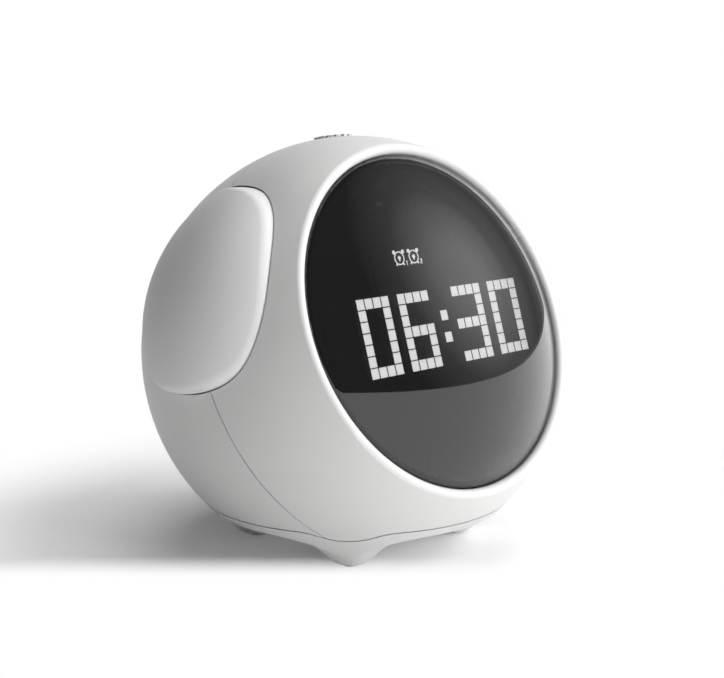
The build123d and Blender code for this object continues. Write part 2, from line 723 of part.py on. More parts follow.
# Ears
def make_ear():
    """The pressed ear on the -X side: a domed cap with a retaining flange, guides and actuator."""
    cap = ear_prism(0) & ear_dome(0)
    crown = cap.faces().sort_by(Axis.X)[0]
    cap = fillet(crown.edges(), EAR_EDGE_ROUND)
    cap -= ear_prism(-EAR_WALL) & ear_dome(EAR_WALL)
    front_zone = ear_front_zone(EAR_FRONT_N)
    cap -= Sphere(EAR_FLANGE_INNER_R)
    cap -= front_zone & Sphere(EAR_FRONT_INNER_R)
    rim = ear_prism(EAR_FLANGE) - ear_prism(-EAR_WALL)
    rim &= Sphere(EAR_FLANGE_OUTER_R) - Sphere(EAR_FLANGE_INNER_R)
    cap += rim - front_zone
    posts = on_ear_line(EAR_ACT_N, bar_x(ACTUATOR_R, -EAR_SWITCH_X - PLUNGER_OUT, -FAR / 2))
    for n in ear_guides():
        posts += on_ear_line(n, bar_x(GUIDE_R, -GUIDE_END_X, -FAR / 2))
        posts += on_ear_line(n, bar_x(SPRING_R + 0.6, -SPRING_COLLAR_X, -FAR / 2))
    return cap + (posts & ear_dome(EAR_WALL / 2))


def make_ear_plunger():
    """The moving plunger of the switch under the ear."""
    plunger = bar_x(PLUNGER_R, -EAR_SWITCH_X - PLUNGER_OUT, -EAR_SWITCH_X + PLUNGER_IN)
    return on_ear_line(EAR_ACT_N, plunger)


def make_ear_switch():
    """The switch body under the ear, with a well for its plunger."""
    body = Pos(-EAR_SWITCH_X + SWITCH_HEIGHT / 2, 0, 0) * Box(SWITCH_HEIGHT, SWITCH, SWITCH)
    body -= bar_x(PLUNGER_R + PLUNGER_FIT, -EAR_SWITCH_X - 1, -EAR_SWITCH_X + PLUNGER_WELL)
    return on_ear_line(EAR_ACT_N, body)


def make_ear_board():
    """The small circuit board that carries the ear's switch."""
    board = Pos(-EAR_PLATE_X - EAR_BOARD / 2, -0.5, 0) * Box(EAR_BOARD, 9.0, SWITCH + 0.2)
    return on_ear_line(EAR_ACT_N, board)


def make_ear_bracket():
    """The angle bracket on the frame that guides the ear and backs its switch."""
    plate_low = EAR_ACT_N - EAR_GUIDE_STEP - 3.5
    reach = FRAME_REAR - plate_low
    plate = Box(EAR_PLATE, BRACKET_WIDTH, reach, align=(Align.MAX, Align.CENTER, Align.MIN))
    bracket = FACE * Pos(-EAR_PLATE_X + EAR_PLATE, EAR_ACT_V, plate_low) * plate
    foot = Box(
        BRACKET_FOOT_REACH,
        BRACKET_WIDTH,
        BRACKET_FOOT,
        align=(Align.MIN, Align.CENTER, Align.MAX),
    )
    bracket += FACE * Pos(-EAR_PLATE_X + EAR_PLATE, EAR_ACT_V, FRAME_REAR) * foot
    guide_hole = bar_x(GUIDE_R + GUIDE_FIT, -EAR_PLATE_X - 1, -EAR_PLATE_X + EAR_PLATE + 1)
    for n in ear_guides():
        bracket -= on_ear_line(n, guide_hole)
    for v in BRACKET_SCREW_VS:
        bracket -= FACE * Pos(-BRACKET_SCREW_X, v, 0) * rod(CLEAR_R, 0, BALL_R)
    return bracket


def make_ear_springs():
    """The two coil springs on the ear's guide posts."""
    start = EAR_PLATE_X + 0.4
    length = SPRING_COLLAR_X - start - 0.4
    path = Helix(length / SPRING_TURNS, length, SPRING_R)
    section = Plane(origin=path @ 0, z_dir=path % 0) * Circle(SPRING_WIRE_R)
    coil = sweep(section, path=path, is_frenet=True)
    coil = Pos(-start, 0, 0) * Rot(0, -90, 0) * coil
    return as_group(on_ear_line(n, coil) for n in ear_guides())


def make_bracket_screws():
    """The two screws that hold one ear bracket to the frame."""
    seat = Rot(180, 0, 0) * screw(4.6)
    height = FRAME_REAR - BRACKET_FOOT
    return as_group(FACE * Pos(-BRACKET_SCREW_X, v, height) * seat for v in BRACKET_SCREW_VS)


# Speaker
def make_speaker_basket():
    """The speaker's cup with a hollow for the cone."""
    low = SPEAKER_TOP_Z - SPEAKER_HEIGHT
    basket = rod(SPEAKER_R, low, SPEAKER_TOP_Z) - rod(SPEAKER_R - 0.8, low + 0.8, SPEAKER_TOP_Z + 1)
    return Pos(0, SPEAKER_Y, 0) * basket


def make_speaker_cone():
    """The shallow cone with a domed middle."""
    low = SPEAKER_TOP_Z - SPEAKER_HEIGHT + 1.2
    edge_r = SPEAKER_R - 0.9
    dome_r = 3.2
    section = make_face(
        [
            ThreePointArc((0, low + 1.4), (dome_r * 0.7, low + 0.8), (dome_r, low)),
            Line((dome_r, low), (edge_r, low + 1.7)),
            Line((edge_r, low + 1.7), (edge_r, low + 1.2)),
            Line((edge_r, low + 1.2), (dome_r, low - 0.3)),
            Line((dome_r, low - 0.3), (0, low - 0.3)),
            Line((0, low - 0.3), (0, low + 1.4)),
        ]
    )
    return Pos(0, SPEAKER_Y, 0) * turned(section)


def make_speaker_magnet():
    """The round magnet under the cup."""
    return Pos(0, SPEAKER_Y, 0) * rod(MAGNET_R, SPEAKER_LOW_Z, SPEAKER_LOW_Z + MAGNET_HEIGHT)


def make_speaker_bracket():
    """The bar that presses the speaker up against its collar."""
    top = SPEAKER_LOW_Z
    bar = slab(2 * SPEAKER_POST_X + 6, SPEAKER_BAR_WIDTH, top - SPEAKER_BAR, top)
    for side in (-1, 1):
        bar -= Pos(side * SPEAKER_POST_X, 0, 0) * rod(CLEAR_R, top - SPEAKER_BAR - 1, top + 1)
    return Pos(0, SPEAKER_Y, 0) * bar


def make_speaker_screws():
    """The two screws through the bar into the posts."""
    seat = Rot(180, 0, 0) * screw(6.0)
    height = SPEAKER_LOW_Z - SPEAKER_BAR
    return as_group(Pos(side * SPEAKER_POST_X, SPEAKER_Y, height) * seat for side in (-1, 1))


# Rear controls
def make_button(place):
    """A domed rear button with its retaining flange and stem."""
    switch_top = MAIN_REAR_N - SWITCH_HEIGHT
    cap = rod(BUTTON_R, -BALL_R - 2, BUTTON_FLANGE_TOP_N)
    cap = (Pos(*place, 0) * cap) & Sphere(BALL_R + BUTTON_PROUD)
    rim = cap.faces().sort_by(Axis.Z)[0].edges()
    cap = fillet(rim, 0.5)
    flange_low = BUTTON_FLANGE_TOP_N + BUTTON_FLANGE
    cap += Pos(*place, 0) * rod(BUTTON_FLANGE_R, BUTTON_FLANGE_TOP_N, flange_low)
    cap += Pos(*place, 0) * rod(BUTTON_STEM_R, flange_low, switch_top - PLUNGER_OUT + 0.2)
    return FACE * cap


def make_button_plunger(place):
    """The moving plunger of the switch under a rear button."""
    switch_top = MAIN_REAR_N - SWITCH_HEIGHT
    return FACE * Pos(*place, 0) * rod(PLUNGER_R, switch_top - PLUNGER_OUT + 0.2, switch_top + PLUNGER_IN)


def make_rear_switches():
    """The three switch bodies on the back of the main board."""
    body = slab(SWITCH, SWITCH, MAIN_REAR_N - SWITCH_HEIGHT, MAIN_REAR_N)
    top = MAIN_REAR_N - SWITCH_HEIGHT
    body -= rod(PLUNGER_R + PLUNGER_FIT, top - 1, top + PLUNGER_WELL)
    return as_group(FACE * Pos(*place, 0) * body for place in button_places())


def make_main_board():
    """The main circuit board across the back of the ball."""
    board = slab(MAIN_WIDTH, MAIN_HEIGHT, MAIN_REAR_N, MAIN_FRONT_N)
    board = Pos(0, MAIN_MID_V, 0) * fillet(board.edges().filter_by(Axis.Z), MAIN_BOSS_R)
    for place in MAIN_SCREWS:
        board -= Pos(*place, 0) * rod(CLEAR_R, MAIN_REAR_N - 1, MAIN_FRONT_N + 1)
    return FACE * board


def make_main_board_screws():
    """The four screws that hold the main board to the rear shell."""
    return as_group(FACE * Pos(x, v, MAIN_FRONT_N) * screw(4.8) for x, v in MAIN_SCREWS)


def make_controller_chip():
    """The square controller chip on the main board."""
    chip = slab(CHIP, CHIP, MAIN_FRONT_N, MAIN_FRONT_N + CHIP_HEIGHT)
    return FACE * Pos(CHIP_X, MAIN_MID_V, 0) * chip


def make_usb_socket():
    """The drawn metal shell of the charging socket, closed at its board end."""
    shell = usb_slot(0, USB_MOUTH_N, MAIN_REAR_N)
    return shell - usb_slot(-USB_WALL, USB_MOUTH_N - 1, USB_MOUTH_N + USB_SOCKET_DEPTH)


def make_usb_tongue():
    """The contact tongue inside the charging socket."""
    low = USB_MOUTH_N + 0.6
    return FACE * Pos(0, USB_V, 0) * slab(6.7, 0.7, low, USB_MOUTH_N + USB_SOCKET_DEPTH)


# Battery
def make_battery():
    """The flat rechargeable pack."""
    low = PLATE_TOP_Z + BATTERY_PAD
    pack = slab(BATTERY_LENGTH, BATTERY_WIDTH, low, low + BATTERY_HEIGHT)
    return fillet(pack.edges().filter_by(Axis.X), 2.5)


def make_battery_pad():
    """The foam pad under the battery."""
    return slab(BATTERY_LENGTH - 8, BATTERY_WIDTH - 8, PLATE_TOP_Z, PLATE_TOP_Z + BATTERY_PAD)


def make_battery_strap():
    """The strap bent over the battery and screwed to the base on both sides."""
    top = PLATE_TOP_Z + BATTERY_PAD + BATTERY_HEIGHT
    seat = PLATE_TOP_Z + STRAP_POST_HEIGHT
    inner = BATTERY_WIDTH / 2 + 0.4
    strap = slab(STRAP_WIDTH, 2 * (inner + STRAP), top, top + STRAP)
    for side in (-1, 1):
        leg_y = side * (inner + STRAP / 2)
        strap += Pos(0, leg_y, 0) * slab(STRAP_WIDTH, STRAP, seat, top + STRAP)
        foot_y = side * (inner + (STRAP_POST_Y + 3 - inner) / 2)
        strap += Pos(0, foot_y, 0) * slab(STRAP_WIDTH, STRAP_POST_Y + 3 - inner, seat, seat + STRAP)
        strap -= Pos(0, side * STRAP_POST_Y, 0) * rod(CLEAR_R, seat - 1, seat + STRAP + 1)
    return strap


def make_strap_screws():
    """The two screws that hold the strap down."""
    height = PLATE_TOP_Z + STRAP_POST_HEIGHT + STRAP
    return as_group(Pos(0, side * STRAP_POST_Y, height) * screw(4.5) for side in (-1, 1))


# Leads
def lead(points):
    """A round wire along straight runs with rounded bends."""
    path = FilletPolyline(*points, radius=LEAD_BEND)
    section = Plane(origin=path @ 0, z_dir=path % 0) * Circle(LEAD_R)
    return sweep(section, path=path)


def make_battery_lead():
    """The pair of battery wires, as one lead to the main board."""
    height = PLATE_TOP_Z + BATTERY_PAD + BATTERY_HEIGHT / 2
    end = face_point(10, -9, MAIN_FRONT_N)
    before = face_point(10, -9, MAIN_FRONT_N + 5)
    return lead([(10, BATTERY_WIDTH / 2, height), (10, BATTERY_WIDTH / 2 + 4, height), before, end])


def make_speaker_lead():
    """The speaker's lead down the inside of the back."""
    height = SPEAKER_TOP_Z - SPEAKER_HEIGHT / 2
    edge = SPEAKER_Y + SPEAKER_R
    end = face_point(0, 12, MAIN_FRONT_N)
    before = face_point(0, 12, MAIN_FRONT_N + 6)
    return lead([(0, edge, height), (0, edge + 4, height), (0, edge + 10, height - 16), before, end])


def make_ear_lead():
    """The lead from the ear's switch board to the main board."""
    v = EAR_ACT_V - 4.4
    x = -EAR_PLATE_X - EAR_BOARD / 2
    start_n = EAR_ACT_N - SWITCH / 2 - 0.1
    run = [
        face_point(x, v, start_n),
        face_point(x, v, -12),
        face_point(-18, 6, -25),
        face_point(-18, 6, MAIN_FRONT_N),
    ]
    return lead(run)


def make_display_ribbon():
    """The flat ribbon from the display's board back to the main board."""
    start = DISPLAY_FRONT - HOUSING_DEPTH - BOARD
    first = DISPLAY.from_local_coords(Vector(0, PIXEL_MID_V, start))
    second = DISPLAY.from_local_coords(Vector(0, PIXEL_MID_V, start - 14))
    third = face_point(0, 9, -8)
    fourth = face_point(0, 4, MAIN_FRONT_N + 8)
    last = face_point(0, 4, MAIN_FRONT_N)
    points = [(point.Y, point.Z) for point in (first, second, third, fourth, last)]
    path = Plane.YZ * FilletPolyline(*points, radius=8.0)
    section = Plane(origin=path @ 0, x_dir=(1, 0, 0), z_dir=path % 0) * Rectangle(RIBBON_WIDTH, RIBBON)
    return sweep(section, path=path)


def make_parts():
    """Every piece of the clock by node name, around the middle of the ball."""
    ear_makers = {
        "ear": make_ear,
        "ear_plunger": make_ear_plunger,
        "ear_switch": make_ear_switch,
        "ear_board": make_ear_board,
        "ear_bracket": make_ear_bracket,
        "ear_springs": make_ear_springs,
        "ear_bracket_screws": make_bracket_screws,
        "ear_lead": make_ear_lead,
    }
    parts = {
        "front_shell": make_front_shell(),
        "rear_shell": make_rear_shell(),
        "base_cover": make_base_cover(),
        "foot_pads": make_foot_pads(),
        "base_screws": make_base_screws(),
        "lens": make_lens(),
        "lens_gasket": make_lens_gasket(),
        "inner_frame": make_inner_frame(),
        "frame_screws": make_frame_screws(),
        "display_housing": make_display_housing(),
        "lit_pixels": make_pixels(True),
        "dark_pixels": make_pixels(False),
        "alarm_icon_blocks": make_icon_blocks(),
        "led_board": make_led_board(),
        "display_screws": make_display_screws(),
        "display_ribbon": make_display_ribbon(),
        "speaker_basket": make_speaker_basket(),
        "speaker_cone": make_speaker_cone(),
        "speaker_magnet": make_speaker_magnet(),
        "speaker_bracket": make_speaker_bracket(),
        "speaker_screws": make_speaker_screws(),
        "speaker_lead": make_speaker_lead(),
        "main_board": make_main_board(),
        "main_board_screws": make_main_board_screws(),
        "controller_chip": make_controller_chip(),
        "rear_switches": make_rear_switches(),
        "usb_socket": make_usb_socket(),
        "usb_tongue": make_usb_tongue(),
        "battery": make_battery(),
        "battery_pad": make_battery_pad(),
        "battery_strap": make_battery_strap(),
        "strap_screws": make_strap_screws(),
        "battery_lead": make_battery_lead(),
    }
    for name, maker in ear_makers.items():
        piece = maker()
        parts[name + "_left"] = piece
        parts[name + "_right"] = mirrored(piece)
    for name, place in zip(BUTTON_NAMES, button_places()):
        parts[name] = make_button(place)
        parts[name + "_plunger"] = make_button_plunger(place)
    return parts


def main():
    """Set the clock down on its pads with the origin under the middle of its box, and write it."""
    parts = make_parts()
    boxes = [shape.bounding_box() for shape in parts.values()]
    middle_y = (min(box.min.Y for box in boxes) + max(box.max.Y for box in boxes)) / 2
    lowest = min(box.min.Z for box in boxes)
    stand = Pos(0, -middle_y, -lowest)
    os.makedirs("parts", exist_ok=True)
    for name, shape in parts.items():
        export_step(stand * shape, f"parts/{name}.step")
    print(f"ball middle at y = {-middle_y:.4f}, z = {-lowest:.4f}")


main()
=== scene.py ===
import json
import logging
import math
from dataclasses import dataclass, field
from enum import Enum
from typing import Dict, List, Sequence, Tuple

import bmesh
import bpy
from mathutils import Matrix, Vector


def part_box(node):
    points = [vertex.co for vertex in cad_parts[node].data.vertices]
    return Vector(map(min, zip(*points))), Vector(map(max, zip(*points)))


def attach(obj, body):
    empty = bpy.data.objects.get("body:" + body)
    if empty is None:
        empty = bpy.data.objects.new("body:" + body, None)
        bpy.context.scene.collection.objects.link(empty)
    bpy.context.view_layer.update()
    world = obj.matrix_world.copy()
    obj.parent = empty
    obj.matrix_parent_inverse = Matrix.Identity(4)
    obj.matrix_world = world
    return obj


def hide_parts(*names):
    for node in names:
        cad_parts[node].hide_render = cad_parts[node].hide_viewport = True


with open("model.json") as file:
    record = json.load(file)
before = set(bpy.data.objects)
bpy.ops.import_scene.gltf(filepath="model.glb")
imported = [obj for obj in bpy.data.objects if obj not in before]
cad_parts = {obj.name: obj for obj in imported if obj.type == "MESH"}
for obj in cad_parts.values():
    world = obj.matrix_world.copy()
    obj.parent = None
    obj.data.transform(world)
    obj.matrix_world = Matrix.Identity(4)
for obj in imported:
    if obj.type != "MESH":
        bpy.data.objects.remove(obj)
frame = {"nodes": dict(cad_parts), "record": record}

# A ball-shaped bedside alarm clock in a pale studio. Lengths are millimetres until a mesh is
# finished, and metres from then on. The clock's front is along -Y and +Z is up.

LOG = logging.getLogger("ball_clock")
MM = 0.001

Colour = Tuple[float, float, float]
Place = Tuple[float, float]
Socket = bpy.types.NodeSocket

# The ball's height above the table and the places of its face and its display, as in the solid model
BALL_HEIGHT = 41.9
FACE_TILT = math.radians(22)
DISPLAY_TILT = math.radians(17.6)
DISPLAY_FRONT = 27.7
PIXEL_PITCH = 2.29

# The photograph's frame
PHOTO_WIDTH = 724
FOCAL_PIXELS = 1408.0
SENSOR_WIDTH = 36.0

# The moulded texture's two noises, whose values swing about their middle
GRAIN_DETAIL = 3.0
GRAIN_ROUGHNESS = 0.6
FLOW_PER_METRE = 38.0
FLOW_DETAIL = 2.0
NOISE_MIDDLE = 0.5

# Drawn points nearer than this, in metres, are one point
MERGE_DISTANCE = 1e-7
FULL_TURN = 360.0


class Body(Enum):
    """The body of the moving clock that new pieces ride on."""

    CASE = "case"


class Slot(Enum):
    """The record's material slots."""

    SHELL = "shell"
    BASE = "base"
    SOFT_PAD = "soft_pad"
    EAR_SOFT = "ear_soft"
    BUTTON_CAP = "button_cap"
    SMOKED_LENS = "smoked_lens"
    FOAM = "foam"
    BLACK_PLASTIC = "black_plastic"
    LIT_RESIN = "lit_resin"
    DARK_RESIN = "dark_resin"
    CIRCUIT_BOARD = "circuit_board"
    SWITCH_BODY = "switch_body"
    SWITCH_PLUNGER = "switch_plunger"
    FIXINGS = "fixings"
    SPRING_WIRE = "spring_wire"
    SOCKET_METAL = "socket_metal"
    SPEAKER_METAL = "speaker_metal"
    SPEAKER_PAPER = "speaker_paper"
    MAGNET = "magnet"
    CELL_WRAP = "cell_wrap"
    WIRE = "wire"
    RIBBON = "ribbon"


def grey(level: float) -> Colour:
    """A neutral colour of one level."""
    return (level, level, level)


def toward(azimuth: float, elevation: float) -> Vector:
    """A direction from the clock.

    Args:
        azimuth: Degrees from straight ahead towards the clock's +X side.
        elevation: Degrees above the table.

    Returns:
        The unit vector.
    """
    turn = math.radians(azimuth)
    rise = math.radians(elevation)
    return Vector((math.sin(turn) * math.cos(rise), -math.cos(turn) * math.cos(rise), math.sin(rise)))


def ball_middle() -> Vector:
    """The middle of the ball, which stands over the middle of its four foot pads.

    Returns:
        The point in the clock's frame, in millimetres.
    """
    low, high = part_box("foot_pads")
    middle = (low + high) / (2 * MM)
    return Vector((middle.x, middle.y, BALL_HEIGHT))


def tilted_matrix(tilt: float) -> Matrix:
    """A plane through the ball's middle: X across, Y up the clock's front and Z out of it, in millimetres.

    Args:
        tilt: How far the plane leans back.

    Returns:
        The matrix that takes the plane's coordinates to the clock's frame.
    """
    outward = Vector((0.0, -math.cos(tilt), math.sin(tilt)))
    across = Vector((1.0, 0.0, 0.0))
    upward = outward.cross(across)
    turn = Matrix((across, upward, outward)).transposed().to_4x4()
    return Matrix.Translation(ball_middle()) @ turn


# Node trees


class NodeSheet:
    """A node tree with short calls for adding and joining nodes."""

    def __init__(self, tree: bpy.types.NodeTree) -> None:
        """Take over a tree and clear it.

        Args:
            tree: The tree to fill.
        """
        self.tree = tree
        tree.nodes.clear()

    def add(self, kind: str, **settings: object) -> bpy.types.Node:
        """Add a node.

        Args:
            kind: The node's type name.
            settings: Properties of the node to set.

        Returns:
            The new node.
        """
        node = self.tree.nodes.new(kind)
        for name, value in settings.items():
            setattr(node, name, value)
        return node

    def join(self, source: Socket, target: Socket) -> None:
        """Link an output to an input."""
        self.tree.links.new(source, target)

    def math(self, operation: str, first: object, second: object = 0.0) -> Socket:
        """Add a Math node.

        Args:
            operation: The node's operation.
            first: A socket or a number.
            second: A socket or a number.

        Returns:
            The result's socket.
        """
        node = self.add("ShaderNodeMath", operation=operation)
        for index, value in enumerate((first, second)):
            if isinstance(value, bpy.types.NodeSocket):
                self.join(value, node.inputs[index])
            else:
                node.inputs[index].default_value = value
        return node.outputs[0]

    def ramp(self, fac: Socket, stops: Sequence[Tuple[float, Colour]]) -> Socket:
        """Add a colour ramp.

        Args:
            fac: The socket that drives the ramp.
            stops: Places and colours along the ramp.

        Returns:
            The ramp's colour.
        """
        node = self.add("ShaderNodeValToRGB")
        elements = node.color_ramp.elements
        while len(elements) < len(stops):
            elements.new(0.5)
        for element, (place, colour) in zip(elements, stops):
            element.position = place
            element.color = (*colour, 1.0)
        self.join(fac, node.inputs["Fac"])
        return node.outputs["Color"]


def group_sheet(
    name: str, inputs: Sequence[str], outputs: Sequence[str]
) -> Tuple[NodeSheet, bpy.types.Node, bpy.types.Node]:
    """Start a shader node group whose inputs and outputs are numbers.

    Args:
        name: The group's name.
        inputs: Input names.
        outputs: Output names.

    Returns:
        The sheet and the group's input and output nodes.
    """
    tree = bpy.data.node_groups.new(name, "ShaderNodeTree")
    sheet = NodeSheet(tree)
    for direction, labels in (("INPUT", inputs), ("OUTPUT", outputs)):
        for label in labels:
            tree.interface.new_socket(label, in_out=direction, socket_type="NodeSocketFloat")
    return sheet, sheet.add("NodeGroupInput"), sheet.add("NodeGroupOutput")


def moulded_texture() -> bpy.types.ShaderNodeTree:
    """The fine spark-eroded texture of moulded plastic, with faint flow marks in its colour.

    Returns:
        A group that puts out a height, a roughness and a tone that vary over the surface.
    """
    name = "moulded texture"
    if name in bpy.data.node_groups:
        return bpy.data.node_groups[name]
    inputs = ("Grain per metre", "Roughness", "Roughness spread", "Tone spread")
    sheet, given, result = group_sheet(name, inputs, ("Height", "Roughness", "Tone"))
    place = sheet.add("ShaderNodeTexCoord").outputs["Object"]
    grain = sheet.add("ShaderNodeTexNoise")
    grain.inputs["Detail"].default_value = GRAIN_DETAIL
    grain.inputs["Roughness"].default_value = GRAIN_ROUGHNESS
    sheet.join(place, grain.inputs["Vector"])
    sheet.join(given.outputs["Grain per metre"], grain.inputs["Scale"])
    flow = sheet.add("ShaderNodeTexNoise")
    flow.inputs["Scale"].default_value = FLOW_PER_METRE
    flow.inputs["Detail"].default_value = FLOW_DETAIL
    sheet.join(place, flow.inputs["Vector"])
    sheet.join(grain.outputs["Fac"], result.inputs["Height"])
    grain_swing = sheet.math("SUBTRACT", grain.outputs["Fac"], NOISE_MIDDLE)
    spread = sheet.math("MULTIPLY", grain_swing, given.outputs["Roughness spread"])
    sheet.join(sheet.math("ADD", given.outputs["Roughness"], spread), result.inputs["Roughness"])
    flow_swing = sheet.math("SUBTRACT", flow.outputs["Fac"], NOISE_MIDDLE)
    tone = sheet.math("MULTIPLY", flow_swing, given.outputs["Tone spread"])
    sheet.join(sheet.math("ADD", 1.0, tone), result.inputs["Tone"])
    return sheet.tree


def new_material(name: str) -> Tuple[bpy.types.Material, NodeSheet, bpy.types.Node]:
    """A material with an empty Principled shader.

    Args:
        name: The material's name.

    Returns:
        The material, its sheet and its shader node.
    """
    material = bpy.data.materials.new(name)
    material.use_nodes = True
    sheet = NodeSheet(material.node_tree)
    shader = sheet.add("ShaderNodeBsdfPrincipled")
    output = sheet.add("ShaderNodeOutputMaterial")
    sheet.join(shader.outputs["BSDF"], output.inputs["Surface"])
    return material, sheet, shader


# Finishes


@dataclass(frozen=True)
class TexturedFinish:
    """A finish with the moulded texture in its tone and its gloss."""

    name: str
    colour: Colour
    roughness: float = 0.45
    roughness_spread: float = 0.06
    tone_spread: float = 0.02
    grain_per_metre: float = 2600.0

    def make(self) -> bpy.types.Material:
        """Build the material.

        Returns:
            The finished material.
        """
        material, sheet, shader = new_material(self.name)
        texture = sheet.add("ShaderNodeGroup", node_tree=moulded_texture())
        texture.inputs["Grain per metre"].default_value = self.grain_per_metre
        texture.inputs["Roughness"].default_value = self.roughness
        texture.inputs["Roughness spread"].default_value = self.roughness_spread
        texture.inputs["Tone spread"].default_value = self.tone_spread
        tint = sheet.add("ShaderNodeMix", data_type="RGBA", blend_type="MULTIPLY")
        tint.inputs["Factor"].default_value = 1.0
        tint.inputs["A"].default_value = (*self.colour, 1.0)
        sheet.join(texture.outputs["Tone"], tint.inputs["B"])
        sheet.join(tint.outputs["Result"], shader.inputs["Base Color"])
        sheet.join(texture.outputs["Roughness"], shader.inputs["Roughness"])
        self.complete(sheet, shader, texture)
        return material

    def complete(self, sheet: NodeSheet, shader: bpy.types.Node, texture: bpy.types.Node) -> None:
        """Add what this kind of finish has besides the texture.

        Args:
            sheet: The material's sheet.
            shader: The material's shader node.
            texture: The texture's node.
        """
        raise NotImplementedError


@dataclass(frozen=True)
class MouldedPlastic(TexturedFinish):
    """Moulded plastic or rubber with a fine surface texture."""

    bump: float = 0.12
    bump_height: float = 0.03

    def complete(self, sheet: NodeSheet, shader: bpy.types.Node, texture: bpy.types.Node) -> None:
        """Raise the texture's grain.

        Args:
            sheet: The material's sheet.
            shader: The material's shader node.
            texture: The texture's node.
        """
        bump = sheet.add("ShaderNodeBump")
        bump.inputs["Strength"].default_value = self.bump
        bump.inputs["Distance"].default_value = self.bump_height * MM
        sheet.join(texture.outputs["Height"], bump.inputs["Height"])
        sheet.join(bump.outputs["Normal"], shader.inputs["Normal"])


@dataclass(frozen=True)
class PlatedMetal(TexturedFinish):
    """Plated or drawn metal with fine marks in its gloss."""

    roughness: float = 0.3
    roughness_spread: float = 0.2
    tone_spread: float = 0.08
    grain_per_metre: float = 900.0

    def complete(self, sheet: NodeSheet, shader: bpy.types.Node, texture: bpy.types.Node) -> None:
        """Make the finish metal.

        Args:
            sheet: The material's sheet.
            shader: The material's shader node.
            texture: The texture's node.
        """
        shader.inputs["Metallic"].default_value = 1.0


@dataclass(frozen=True)
class SmokedLens(TexturedFinish):
    """Polished smoked plastic of the domed lens, under a hard coat."""

    name: str = "smoked lens"
    colour: Colour = (0.24, 0.24, 0.245)
    roughness: float = 0.012
    roughness_spread: float = 0.008
    tone_spread: float = 0.01
    grain_per_metre: float = 120.0
    index: float = 1.49
    hard_coat: float = 1.0

    def complete(self, sheet: NodeSheet, shader: bpy.types.Node, texture: bpy.types.Node) -> None:
        """Let light through and coat the surface.

        Args:
            sheet: The material's sheet.
            shader: The material's shader node.
            texture: The texture's node.
        """
        shader.inputs["Transmission Weight"].default_value = 1.0
        shader.inputs["IOR"].default_value = self.index
        shader.inputs["Coat Weight"].default_value = self.hard_coat
        shader.inputs["Coat Roughness"].default_value = self.roughness


@dataclass(frozen=True)
class LitResin:
    """Diffusing resin lit from behind, a little brighter over each emitter."""

    name: str
    colour: Colour = (1.0, 1.0, 0.99)
    strength: float = 3.3
    edge_level: float = 0.86
    resin_level: float = 0.6
    roughness: float = 0.5
    bright_reach: float = 0.25
    cell_reach: float = 0.5

    def make(self) -> bpy.types.Material:
        """Build the material.

        Returns:
            The finished material.
        """
        material, sheet, shader = new_material(self.name)
        shader.inputs["Base Color"].default_value = (*grey(self.resin_level), 1.0)
        shader.inputs["Roughness"].default_value = self.roughness
        shader.inputs["Emission Strength"].default_value = self.strength
        edge = tuple(self.edge_level * part for part in self.colour)
        stops = ((self.bright_reach, self.colour), (self.cell_reach, edge))
        glow = sheet.ramp(self.cell_distance(sheet), stops)
        sheet.join(glow, shader.inputs["Emission Color"])
        return material

    def cell_distance(self, sheet: NodeSheet) -> Socket:
        """How far a point lies from the middle of its pixel, in pixel pitches.

        Args:
            sheet: The material's sheet.

        Returns:
            The distance's socket.
        """
        place = sheet.add("ShaderNodeTexCoord").outputs["Object"]
        mapping = sheet.add("ShaderNodeMapping", vector_type="TEXTURE")
        mapping.inputs["Location"].default_value = ball_middle() * MM
        mapping.inputs["Rotation"].default_value = (math.pi / 2 - DISPLAY_TILT, 0.0, 0.0)
        mapping.inputs["Scale"].default_value = Vector((PIXEL_PITCH, PIXEL_PITCH, PIXEL_PITCH)) * MM
        sheet.join(place, mapping.inputs["Vector"])
        parts = sheet.add("ShaderNodeSeparateXYZ")
        sheet.join(mapping.outputs["Vector"], parts.inputs[0])
        offsets = [self.from_whole(sheet, parts.outputs[axis]) for axis in ("X", "Y")]
        return sheet.math("MAXIMUM", *offsets)

    @staticmethod
    def from_whole(sheet: NodeSheet, value: Socket) -> Socket:
        """How far a number lies from the nearest whole number.

        Args:
            sheet: The material's sheet.
            value: The number's socket.

        Returns:
            The distance's socket, from 0 to 0.5.
        """
        nearest = sheet.math("ROUND", value)
        return sheet.math("ABSOLUTE", sheet.math("SUBTRACT", value, nearest))


@dataclass(frozen=True)
class CircuitBoard:
    """Solder-masked board with faint tracks under the mask."""

    name: str = "circuit board"
    mask: Colour = (0.015, 0.10, 0.04)
    track: Colour = (0.03, 0.17, 0.07)
    tracks_per_metre: float = 320.0
    track_width: float = 0.05
    roughness: float = 0.35

    def make(self) -> bpy.types.Material:
        """Build the material.

        Returns:
            The finished material.
        """
        material, sheet, shader = new_material(self.name)
        place = sheet.add("ShaderNodeTexCoord").outputs["Object"]
        tracks = sheet.add("ShaderNodeTexBrick")
        tracks.inputs["Scale"].default_value = self.tracks_per_metre
        tracks.inputs["Mortar Size"].default_value = self.track_width
        tracks.inputs["Color1"].default_value = (*self.mask, 1.0)
        tracks.inputs["Color2"].default_value = (*self.mask, 1.0)
        tracks.inputs["Mortar"].default_value = (*self.track, 1.0)
        sheet.join(place, tracks.inputs["Vector"])
        sheet.join(tracks.outputs["Color"], shader.inputs["Base Color"])
        shader.inputs["Roughness"].default_value = self.roughness
        return material


